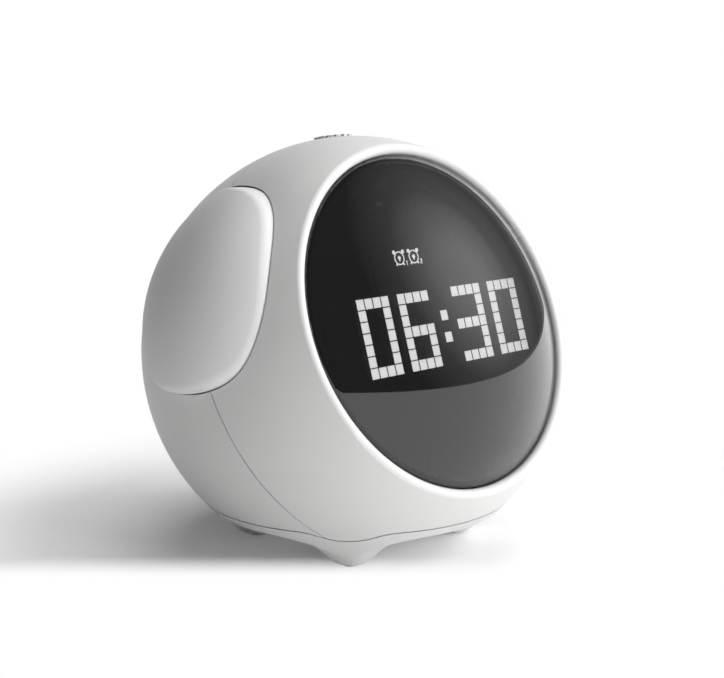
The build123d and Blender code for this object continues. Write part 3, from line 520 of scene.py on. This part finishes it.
@dataclass
class Finishes:
    """The clock's finishes by the record's material slots."""

    by_slot: Dict[Slot, bpy.types.Material] = field(default_factory=dict)

    def make_all(self) -> None:
        """Build every finish once."""
        finishes = {
            Slot.SHELL: MouldedPlastic("satin shell", (0.64, 0.64, 0.635)),
            Slot.BASE: MouldedPlastic("satin base", (0.64, 0.64, 0.635)),
            Slot.EAR_SOFT: MouldedPlastic("soft-touch ear", grey(0.69), roughness=0.55, bump=0.05),
            Slot.BUTTON_CAP: MouldedPlastic("rear button", grey(0.60), roughness=0.5),
            Slot.SOFT_PAD: MouldedPlastic("foot pad rubber", grey(0.45), roughness=0.8, tone_spread=0.1),
            Slot.FOAM: MouldedPlastic("black foam", grey(0.02), roughness=0.95, bump=0.4),
            Slot.BLACK_PLASTIC: MouldedPlastic("black moulding", grey(0.007), roughness=0.6),
            Slot.DARK_RESIN: MouldedPlastic("unlit resin", grey(0.006), roughness=0.5),
            Slot.SWITCH_BODY: MouldedPlastic("switch body", grey(0.03), roughness=0.5),
            Slot.SWITCH_PLUNGER: MouldedPlastic("switch plunger", grey(0.55), roughness=0.5),
            Slot.SPEAKER_METAL: MouldedPlastic("painted cup", grey(0.03), roughness=0.4),
            Slot.SPEAKER_PAPER: MouldedPlastic("cone paper", grey(0.05), roughness=0.9, tone_spread=0.3),
            Slot.MAGNET: MouldedPlastic("sintered magnet", grey(0.12), roughness=0.6, tone_spread=0.2),
            Slot.CELL_WRAP: MouldedPlastic("cell wrap", (0.16, 0.19, 0.24), roughness=0.3),
            Slot.WIRE: MouldedPlastic("wire cover", grey(0.02), roughness=0.5),
            Slot.RIBBON: MouldedPlastic("flat ribbon", (0.6, 0.58, 0.52), roughness=0.4),
            Slot.FIXINGS: PlatedMetal("plated screw", grey(0.55)),
            Slot.SPRING_WIRE: PlatedMetal("spring wire", grey(0.6), roughness=0.2),
            Slot.SOCKET_METAL: PlatedMetal("socket shell", grey(0.58), roughness=0.22),
            Slot.SMOKED_LENS: SmokedLens(),
            Slot.LIT_RESIN: LitResin("lit pixel"),
            Slot.CIRCUIT_BOARD: CircuitBoard(),
        }
        for slot, finish in finishes.items():
            self.by_slot[slot] = finish.make()


# Pieces of the clock


def dress(thing: bpy.types.Object, material: bpy.types.Material) -> None:
    """Give an object one material in place of what it has.

    Args:
        thing: The object.
        material: The material.
    """
    thing.data.materials.clear()
    thing.data.materials.append(material)


def record_slot(node: str) -> Slot:
    """The material slot that the record gives a node.

    Args:
        node: The node's name.

    Returns:
        The slot.
    """
    for part in frame["record"]["subparts"]:
        if part["node"] == node:
            return Slot(part["material_slot"])
    raise KeyError(node)


class SubAssembly:
    """Pieces of the clock that belong together."""

    def nodes(self) -> Tuple[str, ...]:
        """The solid model's nodes in this sub-assembly."""
        raise NotImplementedError

    def dress(self, finishes: Finishes) -> None:
        """Give every node the finish of its slot and report it.

        Args:
            finishes: The clock's finishes.
        """
        for node in self.nodes():
            slot = record_slot(node)
            dress(frame["nodes"][node], finishes.by_slot[slot])
            LOG.info("%s: %s dressed as %s", type(self).__name__, node, slot.value)


class CaseShell(SubAssembly):
    """The two halves of the ball and the base that closes it."""

    def nodes(self) -> Tuple[str, ...]:
        """The solid model's nodes in this sub-assembly."""
        return ("front_shell", "rear_shell", "base_cover", "base_screws", "foot_pads")


class SoundUnit(SubAssembly):
    """The speaker under the sound holes."""

    def nodes(self) -> Tuple[str, ...]:
        """The solid model's nodes in this sub-assembly."""
        pieces = ("basket", "cone", "magnet", "bracket", "screws", "lead")
        return tuple(f"speaker_{piece}" for piece in pieces)


@dataclass
class EarPad(SubAssembly):
    """One pressed ear with its switch, bracket and springs."""

    side: str

    def nodes(self) -> Tuple[str, ...]:
        """The solid model's nodes in this sub-assembly."""
        pieces = ("plunger", "switch", "board", "bracket", "bracket_screws", "springs", "lead")
        return (f"ear_{self.side}", *(f"ear_{piece}_{self.side}" for piece in pieces))


class RearControls(SubAssembly):
    """The main board at the back with its buttons and charging socket."""

    def nodes(self) -> Tuple[str, ...]:
        """The solid model's nodes in this sub-assembly."""
        caps = tuple(f"button_{name}" for name in ("mode", "up", "down"))
        plungers = tuple(f"{cap}_plunger" for cap in caps)
        board = ("main_board", "main_board_screws", "controller_chip", "rear_switches")
        return (*board, "usb_socket", "usb_tongue", *caps, *plungers)


class PowerPack(SubAssembly):
    """The battery with its pad, strap and lead."""

    def nodes(self) -> Tuple[str, ...]:
        """The solid model's nodes in this sub-assembly."""
        return ("battery", "battery_pad", "battery_strap", "strap_screws", "battery_lead")


def finish_mesh(
    name: str, mesh: bmesh.types.BMesh, place: Matrix, body: Body
) -> bpy.types.Object:
    """Turn a bmesh drawn in millimetres into a piece of the clock.

    Args:
        name: The piece's name.
        mesh: The drawn mesh, freed here.
        place: Where it goes in the clock's frame, in millimetres.
        body: The body it rides on.

    Returns:
        The new object at the origin with its place in its mesh.
    """
    bmesh.ops.transform(mesh, matrix=Matrix.Scale(MM, 4) @ place, verts=mesh.verts)
    bmesh.ops.remove_doubles(mesh, verts=mesh.verts, dist=MERGE_DISTANCE)
    bmesh.ops.recalc_face_normals(mesh, faces=mesh.faces)
    data = bpy.data.meshes.new(name)
    mesh.to_mesh(data)
    mesh.free()
    thing = bpy.data.objects.new(name, data)
    bpy.context.scene.collection.objects.link(thing)
    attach(thing, body.value)
    LOG.info("built %s with %d faces", name, len(data.polygons))
    return thing


def spin_round(mesh: bmesh.types.BMesh, geom: Sequence[bmesh.types.BMVert], steps: int) -> None:
    """Spin points and edges one whole turn about the Z axis.

    Args:
        mesh: The mesh that they are in.
        geom: The points and edges.
        steps: The number of equal steps.
    """
    bmesh.ops.spin(
        mesh,
        geom=geom,
        cent=(0, 0, 0),
        axis=(0, 0, 1),
        angle=2 * math.pi,
        steps=steps,
        use_merge=True,
    )


def arc(middle: Place, radius: float, start: float, end: float, steps: int) -> List[Place]:
    """Points along part of a circle.

    Args:
        middle: The circle's middle.
        radius: The circle's radius.
        start: The first point's turn.
        end: The last point's turn.
        steps: The number of equal steps.

    Returns:
        The points.
    """
    turns = [start + (end - start) * step / steps for step in range(steps + 1)]
    return [(middle[0] + radius * math.cos(turn), middle[1] + radius * math.sin(turn)) for turn in turns]


@dataclass
class LensWindow(SubAssembly):
    """The domed lens with its foam ring and the frame behind it.

    The lens is drawn again as a smooth dome, to the solid model's sizes, so that it bends light evenly.
    Heights are along the face's axis from the ball's middle.
    """

    radius: float = 35.8
    edge_height: float = 26.8
    rise: float = 10.5
    wall: float = 1.8
    edge_round: float = 0.9
    flange_radius: float = 37.4
    flange_top: float = 20.9
    flange: float = 1.9
    dome_steps: int = 48
    edge_steps: int = 8
    turn_steps: int = 160
    sharp_turn: float = math.radians(30)

    def nodes(self) -> Tuple[str, ...]:
        """The solid model's nodes in this sub-assembly."""
        return ("lens", "lens_gasket", "inner_frame", "frame_screws")

    def build_lens(self, finishes: Finishes) -> None:
        """Spin the smooth lens in place of the solid model's.

        Args:
            finishes: The clock's finishes.
        """
        mesh = bmesh.new()
        verts = [mesh.verts.new((reach, 0.0, height)) for reach, height in self.section()]
        edges = [mesh.edges.new(pair) for pair in zip(verts, verts[1:])]
        spin_round(mesh, verts + edges, self.turn_steps)
        for face in mesh.faces:
            face.smooth = True
        for edge in mesh.edges:
            edge.smooth = edge.calc_face_angle(0.0) < self.sharp_turn
        lens = finish_mesh("smoked_dome", mesh, tilted_matrix(FACE_TILT), Body.CASE)
        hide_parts("lens")
        dress(lens, finishes.by_slot[Slot.SMOKED_LENS])

    def section(self) -> List[Place]:
        """Half of the lens cut through its axis, from the top of the dome round to its underside.

        Returns:
            Distances from the axis and heights along it.
        """
        dome = (self.radius**2 + self.rise**2) / (2 * self.rise)
        dome_middle = (0.0, self.edge_height + self.rise - dome)
        round_reach = self.radius - self.edge_round
        round_rise = math.sqrt((dome - self.edge_round) ** 2 - round_reach**2)
        round_middle = (round_reach, dome_middle[1] + round_rise)
        round_turn = math.atan2(round_rise, round_reach)
        inner = dome - self.wall
        skirt = self.radius - self.wall
        skirt_turn = math.acos(skirt / inner)
        flange_low = self.flange_top - self.flange
        upright = math.pi / 2
        return [
            *arc(dome_middle, dome, upright, round_turn, self.dome_steps),
            *arc(round_middle, self.edge_round, round_turn, 0.0, self.edge_steps)[1:],
            (self.radius, self.flange_top),
            (self.flange_radius, self.flange_top),
            (self.flange_radius, flange_low),
            (skirt, flange_low),
            *arc(dome_middle, inner, skirt_turn, upright, self.dome_steps),
        ]


@dataclass
class PixelDisplay(SubAssembly):
    """The pixel display and the two alarm signs on its front, each a clock outline with a number."""

    sign_places: Tuple[Place, ...] = ((-9.5, 15.05), (-5.3, 15.05))
    sign_lift: float = 0.01
    sign_strength: float = 3.2
    ring_radius: float = 1.42
    ring_steps: int = 32
    line: float = 0.25
    thickness: float = 0.04
    bell_radius: float = 0.42
    bell_turn: float = math.radians(45)
    bell_reach: float = 1.8
    foot_turn: float = math.radians(38)
    foot_reach: float = 1.6
    foot_size: Place = (0.36, 0.5)
    drop_radius: float = 0.4
    drop_height: float = 0.05
    stem_size: Place = (0.26, 0.6)
    stem_height: float = -0.35
    number_offset: Place = (1.95, -1.1)
    number_height: float = 1.0
    number_width_share: float = 0.5
    number_bar_share: float = 0.18
    disc_segments: int = 20

    def nodes(self) -> Tuple[str, ...]:
        """The solid model's nodes in this sub-assembly."""
        front = ("display_housing", "lit_pixels", "dark_pixels", "alarm_icon_blocks")
        return (*front, "led_board", "display_screws", "display_ribbon")

    def build_signs(self) -> None:
        """Draw both alarm signs on the display's front."""
        sign = LitResin("alarm sign", strength=self.sign_strength, edge_level=1.0).make()
        for number, (u, v) in enumerate(self.sign_places, start=1):
            mesh = bmesh.new()
            self.add_ring(mesh)
            for side in (-1, 1):
                self.add_bell(mesh, side)
                self.add_foot(mesh, side)
            self.add_hand(mesh)
            self.add_number(mesh, number)
            spot = Matrix.Translation((u, v, DISPLAY_FRONT + self.sign_lift))
            place = tilted_matrix(DISPLAY_TILT) @ spot
            dress(finish_mesh(f"alarm_sign_{number}", mesh, place, Body.CASE), sign)

    def add_plate(self, mesh: bmesh.types.BMesh, centre: Vector, size: Place, turn: float = 0.0) -> None:
        """A thin flat bar.

        Args:
            mesh: The mesh to add to.
            centre: Its middle on the sign.
            size: Its size across and along.
            turn: Its turn on the sign.
        """
        spot = Matrix.Translation((centre.x, centre.y, self.thickness / 2))
        sized = Matrix.Rotation(turn, 4, "Z") @ Matrix.Diagonal((*size, self.thickness, 1.0))
        bmesh.ops.create_cube(mesh, size=1.0, matrix=spot @ sized)

    def add_disc(self, mesh: bmesh.types.BMesh, centre: Vector, radius: float) -> None:
        """A thin flat disc.

        Args:
            mesh: The mesh to add to.
            centre: Its middle on the sign.
            radius: Its radius.
        """
        bmesh.ops.create_cone(
            mesh,
            cap_ends=True,
            segments=self.disc_segments,
            radius1=radius,
            radius2=radius,
            depth=self.thickness,
            matrix=Matrix.Translation((centre.x, centre.y, self.thickness / 2)),
        )

    def add_ring(self, mesh: bmesh.types.BMesh) -> None:
        """The round outline of the sign.

        Args:
            mesh: The mesh to add to.
        """
        inner = self.ring_radius - self.line
        low = [mesh.verts.new((reach, 0.0, 0.0)) for reach in (inner, self.ring_radius)]
        high = [mesh.verts.new((reach, 0.0, self.thickness)) for reach in (self.ring_radius, inner)]
        section = mesh.faces.new(low + high)
        spin_round(mesh, [*section.verts, *section.edges], self.ring_steps)
        bmesh.ops.delete(mesh, geom=[section], context="FACES_ONLY")

    def add_bell(self, mesh: bmesh.types.BMesh, side: int) -> None:
        """One of the two round bells at the top.

        Args:
            mesh: The mesh to add to.
            side: -1 for left and 1 for right.
        """
        across = side * self.bell_reach * math.sin(self.bell_turn)
        centre = Vector((across, self.bell_reach * math.cos(self.bell_turn)))
        self.add_disc(mesh, centre, self.bell_radius)

    def add_foot(self, mesh: bmesh.types.BMesh, side: int) -> None:
        """One of the two short feet.

        Args:
            mesh: The mesh to add to.
            side: -1 for left and 1 for right.
        """
        across = side * self.foot_reach * math.sin(self.foot_turn)
        centre = Vector((across, -self.foot_reach * math.cos(self.foot_turn)))
        self.add_plate(mesh, centre, self.foot_size, side * self.foot_turn)

    def add_hand(self, mesh: bmesh.types.BMesh) -> None:
        """The drop-shaped hand in the middle.

        Args:
            mesh: The mesh to add to.
        """
        self.add_disc(mesh, Vector((0.0, self.drop_height)), self.drop_radius)
        self.add_plate(mesh, Vector((0.0, self.stem_height)), self.stem_size)

    def add_number(self, mesh: bmesh.types.BMesh, number: int) -> None:
        """The small number at the lower right, drawn with straight bars.

        Args:
            mesh: The mesh to add to.
            number: 1 or 2.
        """
        middle = Vector(self.number_offset)
        tall = self.number_height
        wide = tall * self.number_width_share
        bar = tall * self.number_bar_share
        if number == 1:
            self.add_plate(mesh, middle, (bar, tall))
            return
        for step in (-1, 0, 1):
            self.add_plate(mesh, middle + Vector((0.0, step * (tall - bar) / 2)), (wide, bar))
        for side in (-1, 1):
            offset = Vector((side * (wide - bar) / 2, side * tall / 4))
            self.add_plate(mesh, middle + offset, (bar, tall / 2 - bar))


# The studio


def stage_object(name: str, mesh: bmesh.types.BMesh) -> bpy.types.Object:
    """An object of the studio, which isn't part of the clock.

    Args:
        name: The object's name.
        mesh: Its mesh in metres, freed here.

    Returns:
        The new object.
    """
    data = bpy.data.meshes.new(name)
    mesh.to_mesh(data)
    mesh.free()
    thing = bpy.data.objects.new(name, data)
    bpy.context.scene.collection.objects.link(thing)
    return thing


@dataclass(frozen=True)
class SoftBox:
    """A square soft light that faces the clock.

    Azimuth is in degrees from straight ahead of the clock towards its +X side, elevation in degrees
    above the table, reach and size in metres, and level is the white that it lights on its own.
    """

    name: str
    azimuth: float
    elevation: float
    reach: float
    size: float
    level: float

    def build(self, target: Vector) -> None:
        """Hang the lamp.

        Args:
            target: The point that it faces, in metres.
        """
        outward = toward(self.azimuth, self.elevation)
        data = bpy.data.lights.new(self.name, "AREA")
        data.shape = "SQUARE"
        data.size = self.size
        data.energy = self.level * (math.pi * self.reach) ** 2
        lamp = bpy.data.objects.new(self.name, data)
        lamp.location = target + outward * self.reach
        lamp.rotation_euler = outward.to_track_quat("Z", "Y").to_euler()
        lamp.visible_glossy = False
        lamp.visible_transmission = False
        bpy.context.scene.collection.objects.link(lamp)


@dataclass
class DarkScreen:
    """A dark screen round the clock that only gloss shows, open towards the clock's right rear.

    It paints the reflections of the glossy parts: a soft pale glow that stands in for a soft lamp's
    reflection, and a tone that grows paler towards its open side. Lengths are metres, turns are degrees
    from straight ahead towards the clock's +X side, and ahead is where a radial gradient is there.
    """

    profile: Tuple[Place, ...] = ((1.6, 0.0), (1.6, 1.2), (1.1, 1.8), (0.0, 2.0))
    start: float = -180.0
    end: float = 124.0
    step: float = 4.0
    low_edge: float = 0.15
    low_edge_fall: float = 0.1
    # Painted reflections: dark round most of the clock and pale towards the open right rear
    tones: Tuple[Place, ...] = ((0.0, 0.14), (90.0, 0.12), (108.0, 0.13), (124.0, 0.7))
    # A painted reflection of a soft lamp, as a pale glow on the screen
    reflected_glow_azimuth: float = 54.0
    reflected_glow_elevation: float = 28.5
    reflected_glow_tones: Tuple[Place, ...] = ((42.0, 0.0), (28.0, 0.2), (18.0, 0.6), (9.0, 0.95), (3.0, 1.0))
    ahead: float = 0.5

    def build(self) -> None:
        """Spin the screen and dress it."""
        mesh = bmesh.new()
        verts = [mesh.verts.new((0.0, -reach, height)) for reach, height in self.profile]
        edges = [mesh.edges.new(pair) for pair in zip(verts, verts[1:])]
        turn = Matrix.Rotation(math.radians(self.start), 3, "Z")
        bmesh.ops.rotate(mesh, cent=(0, 0, 0), matrix=turn, verts=verts)
        sweep = self.end - self.start
        bmesh.ops.spin(
            mesh,
            geom=verts + edges,
            cent=(0, 0, 0),
            axis=(0, 0, 1),
            angle=math.radians(sweep),
            steps=round(sweep / self.step),
        )
        bmesh.ops.bisect_plane(
            mesh,
            geom=[*mesh.verts, *mesh.edges, *mesh.faces],
            plane_co=(0.0, 0.0, self.low_edge),
            plane_no=(self.low_edge_fall, 0.0, 1.0),
            clear_inner=True,
        )
        screen = stage_object("reflection_screen", mesh)
        screen.visible_camera = False
        screen.visible_diffuse = False
        screen.visible_shadow = False
        dress(screen, self.make_material())

    def make_material(self) -> bpy.types.Material:
        """The screen's own light, which paints the reflections.

        Returns:
            The finished material.
        """
        material = bpy.data.materials.new("dark screen")
        material.use_nodes = True
        sheet = NodeSheet(material.node_tree)
        place = sheet.add("ShaderNodeTexCoord").outputs["Object"]
        sides = self.reflected_side_tone(sheet, place)
        # The painted lamp reflection, added to the painted dark and pale surroundings
        glow = self.reflected_glow_tone(sheet, place)
        both = sheet.add("ShaderNodeMix", data_type="RGBA", blend_type="ADD")
        both.inputs["Factor"].default_value = 1.0
        sheet.join(sides, both.inputs["A"])
        sheet.join(glow, both.inputs["B"])
        shine = sheet.add("ShaderNodeEmission")
        sheet.join(both.outputs["Result"], shine.inputs["Color"])
        output = sheet.add("ShaderNodeOutputMaterial")
        sheet.join(shine.outputs["Emission"], output.inputs["Surface"])
        return material

    def reflected_side_tone(self, sheet: NodeSheet, place: Socket) -> Socket:
        """The painted reflection's tone that changes round the clock.

        Args:
            sheet: The material's sheet.
            place: The Object coordinates.

        Returns:
            The tone's socket.
        """
        turned = sheet.add("ShaderNodeMapping")
        turned.inputs["Rotation"].default_value = (0.0, 0.0, math.pi / 2)
        sheet.join(place, turned.inputs["Vector"])
        round_clock = sheet.add("ShaderNodeTexGradient", gradient_type="RADIAL")
        sheet.join(turned.outputs["Vector"], round_clock.inputs["Vector"])
        stops = [(self.ahead + turn / FULL_TURN, grey(level)) for turn, level in self.tones]
        return sheet.ramp(round_clock.outputs["Fac"], stops)

    def reflected_glow_tone(self, sheet: NodeSheet, place: Socket) -> Socket:
        """The painted reflection of a soft lamp, a glow by the angle from its middle.

        Args:
            sheet: The material's sheet.
            place: The Object coordinates.

        Returns:
            The tone's socket.
        """
        outward = sheet.add("ShaderNodeVectorMath", operation="NORMALIZE")
        sheet.join(place, outward.inputs[0])
        nearness = sheet.add("ShaderNodeVectorMath", operation="DOT_PRODUCT")
        sheet.join(outward.outputs["Vector"], nearness.inputs[0])
        nearness.inputs[1].default_value = toward(self.reflected_glow_azimuth, self.reflected_glow_elevation)
        stops = [(math.cos(math.radians(angle)), grey(level)) for angle, level in self.reflected_glow_tones]
        return sheet.ramp(nearness.outputs["Value"], stops)


@dataclass
class Studio:
    """The pale floor, the light and the camera at the photograph's angle.

    The camera's place is in degrees and millimetres from the ball's middle. The floor is in metres: white
    is painted over it and over the clock's shadow past the far painted white's distance from the clock and
    past the near painted white's towards the camera, and a small share of painted white lightens the
    shadow everywhere.
    """

    azimuth: float = -44.777
    elevation: float = 9.97
    distance: float = 312.17
    shift_right: float = 1.363
    shift_up: float = 2.397
    nearest_seen: float = 0.01
    fill_level: float = 0.04
    floor_half: float = 6.0
    floor_level: float = 0.95
    floor_roughness: float = 0.9
    # Painted light on the floor: a small share of white over the shadow everywhere, and white painted over
    # the shadow far from the clock and towards the camera
    floor_painted_white: float = 0.1
    far_painted_white: Place = (0.055, 0.115)
    near_painted_white: Place = (0.017, 0.034)
    soft_boxes: Tuple[SoftBox, ...] = (
        SoftBox("key", azimuth=46.0, elevation=30.0, reach=1.2, size=0.8, level=0.86),
        SoftBox("front", azimuth=12.0, elevation=13.0, reach=1.2, size=0.5, level=0.48),
        SoftBox("low", azimuth=-20.0, elevation=9.0, reach=0.6, size=0.18, level=0.15),
        SoftBox("top", azimuth=110.0, elevation=78.0, reach=1.2, size=0.9, level=0.55),
    )

    def build(self) -> None:
        """Set up everything around the clock."""
        bpy.context.scene.view_settings.view_transform = "Standard"
        self.add_world()
        self.add_floor()
        DarkScreen().build()
        for soft_box in self.soft_boxes:
            soft_box.build(ball_middle() * MM)
        self.add_camera()

    def add_camera(self) -> None:
        """The camera where the photograph was taken from."""
        back = toward(self.azimuth, self.elevation)
        right = (-back).cross(Vector((0, 0, 1))).normalized()
        up = right.cross(-back)
        spot = ball_middle() + back * self.distance + right * self.shift_right + up * self.shift_up
        data = bpy.data.cameras.new("camera")
        data.sensor_fit = "HORIZONTAL"
        data.sensor_width = SENSOR_WIDTH
        data.lens = FOCAL_PIXELS / PHOTO_WIDTH * SENSOR_WIDTH
        data.clip_start = self.nearest_seen
        camera = bpy.data.objects.new("camera", data)
        turn = Matrix((right, up, back)).transposed().to_4x4()
        camera.matrix_world = Matrix.Translation(spot * MM) @ turn
        bpy.context.scene.collection.objects.link(camera)
        bpy.context.scene.camera = camera

    @staticmethod
    def seen_directly(sheet: NodeSheet) -> Socket:
        """A mask of 1 where a surface is seen directly, in gloss or through glass.

        Args:
            sheet: The sheet to add the nodes to.

        Returns:
            The mask's socket.
        """
        path = sheet.add("ShaderNodeLightPath")
        seen = sheet.math("MAXIMUM", path.outputs["Is Camera Ray"], path.outputs["Is Glossy Ray"])
        return sheet.math("MAXIMUM", seen, path.outputs["Is Transmission Ray"])

    def add_world(self) -> None:
        """White where it is seen directly or in gloss, and a soft grey fill for the rest."""
        world = bpy.data.worlds.new("studio")
        bpy.context.scene.world = world
        world.use_nodes = True
        sheet = NodeSheet(world.node_tree)
        level = sheet.add("ShaderNodeMix", data_type="RGBA")
        level.inputs["A"].default_value = (*grey(self.fill_level), 1.0)
        level.inputs["B"].default_value = (1.0, 1.0, 1.0, 1.0)
        sheet.join(self.seen_directly(sheet), level.inputs["Factor"])
        shader = sheet.add("ShaderNodeBackground")
        sheet.join(level.outputs["Result"], shader.inputs["Color"])
        output = sheet.add("ShaderNodeOutputWorld")
        sheet.join(shader.outputs[0], output.inputs["Surface"])

    @staticmethod
    def fade(sheet: NodeSheet, value: Socket, ends: Place) -> Socket:
        """A smooth step from 0 to 1.

        Args:
            sheet: The sheet to add the node to.
            value: The socket that drives the step.
            ends: The values where the step starts and ends.

        Returns:
            The step's socket.
        """
        step = sheet.add("ShaderNodeMapRange", interpolation_type="SMOOTHSTEP")
        step.inputs["From Min"].default_value = ends[0]
        step.inputs["From Max"].default_value = ends[1]
        sheet.join(value, step.inputs["Value"])
        return step.outputs["Result"]

    def add_floor(self) -> None:
        """The pale floor, which keeps the clock's shadow lightened by a small share of painted white, with
        white painted over the floor and its shadow away from the clock and towards the camera.
        """
        mesh = bmesh.new()
        bmesh.ops.create_grid(mesh, x_segments=1, y_segments=1, size=self.floor_half)
        floor = stage_object("floor", mesh)
        material, sheet, shader = new_material("pale floor")
        shader.inputs["Base Color"].default_value = (*grey(self.floor_level), 1.0)
        shader.inputs["Roughness"].default_value = self.floor_roughness
        shader.inputs["Specular IOR Level"].default_value = 0.0
        place = sheet.add("ShaderNodeTexCoord").outputs["Object"]
        reach = sheet.add("ShaderNodeVectorMath", operation="LENGTH")
        sheet.join(place, reach.inputs[0])
        nearness = sheet.add("ShaderNodeVectorMath", operation="DOT_PRODUCT")
        sheet.join(place, nearness.inputs[0])
        nearness.inputs[1].default_value = toward(self.azimuth, 0.0)
        far = self.fade(sheet, reach.outputs["Value"], self.far_painted_white)
        near = self.fade(sheet, nearness.outputs["Value"], self.near_painted_white)
        # The share of painted white, which lightens the clock's shadow and whitens it away from the clock
        # and towards the camera
        painted_white_share = sheet.math("MAXIMUM", sheet.math("MAXIMUM", far, near), self.floor_painted_white)
        white = sheet.add("ShaderNodeEmission")
        mix = sheet.add("ShaderNodeMixShader")
        sheet.join(sheet.math("MULTIPLY", painted_white_share, self.seen_directly(sheet)), mix.inputs[0])
        sheet.join(shader.outputs["BSDF"], mix.inputs[1])
        sheet.join(white.outputs["Emission"], mix.inputs[2])
        output = sheet.tree.nodes["Material Output"]
        sheet.join(mix.outputs["Shader"], output.inputs["Surface"])
        floor.data.materials.append(material)


def main() -> None:
    """Dress the solid model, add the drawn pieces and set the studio."""
    logging.basicConfig(level=logging.INFO, format="%(name)s: %(message)s")
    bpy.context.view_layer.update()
    finishes = Finishes()
    finishes.make_all()
    window = LensWindow()
    display = PixelDisplay()
    ears = [EarPad(side) for side in ("left", "right")]
    for sub_assembly in (CaseShell(), window, display, SoundUnit(), *ears, RearControls(), PowerPack()):
        sub_assembly.dress(finishes)
    window.build_lens(finishes)
    display.build_signs()
    Studio().build()


if __name__ == "__main__":
    main()
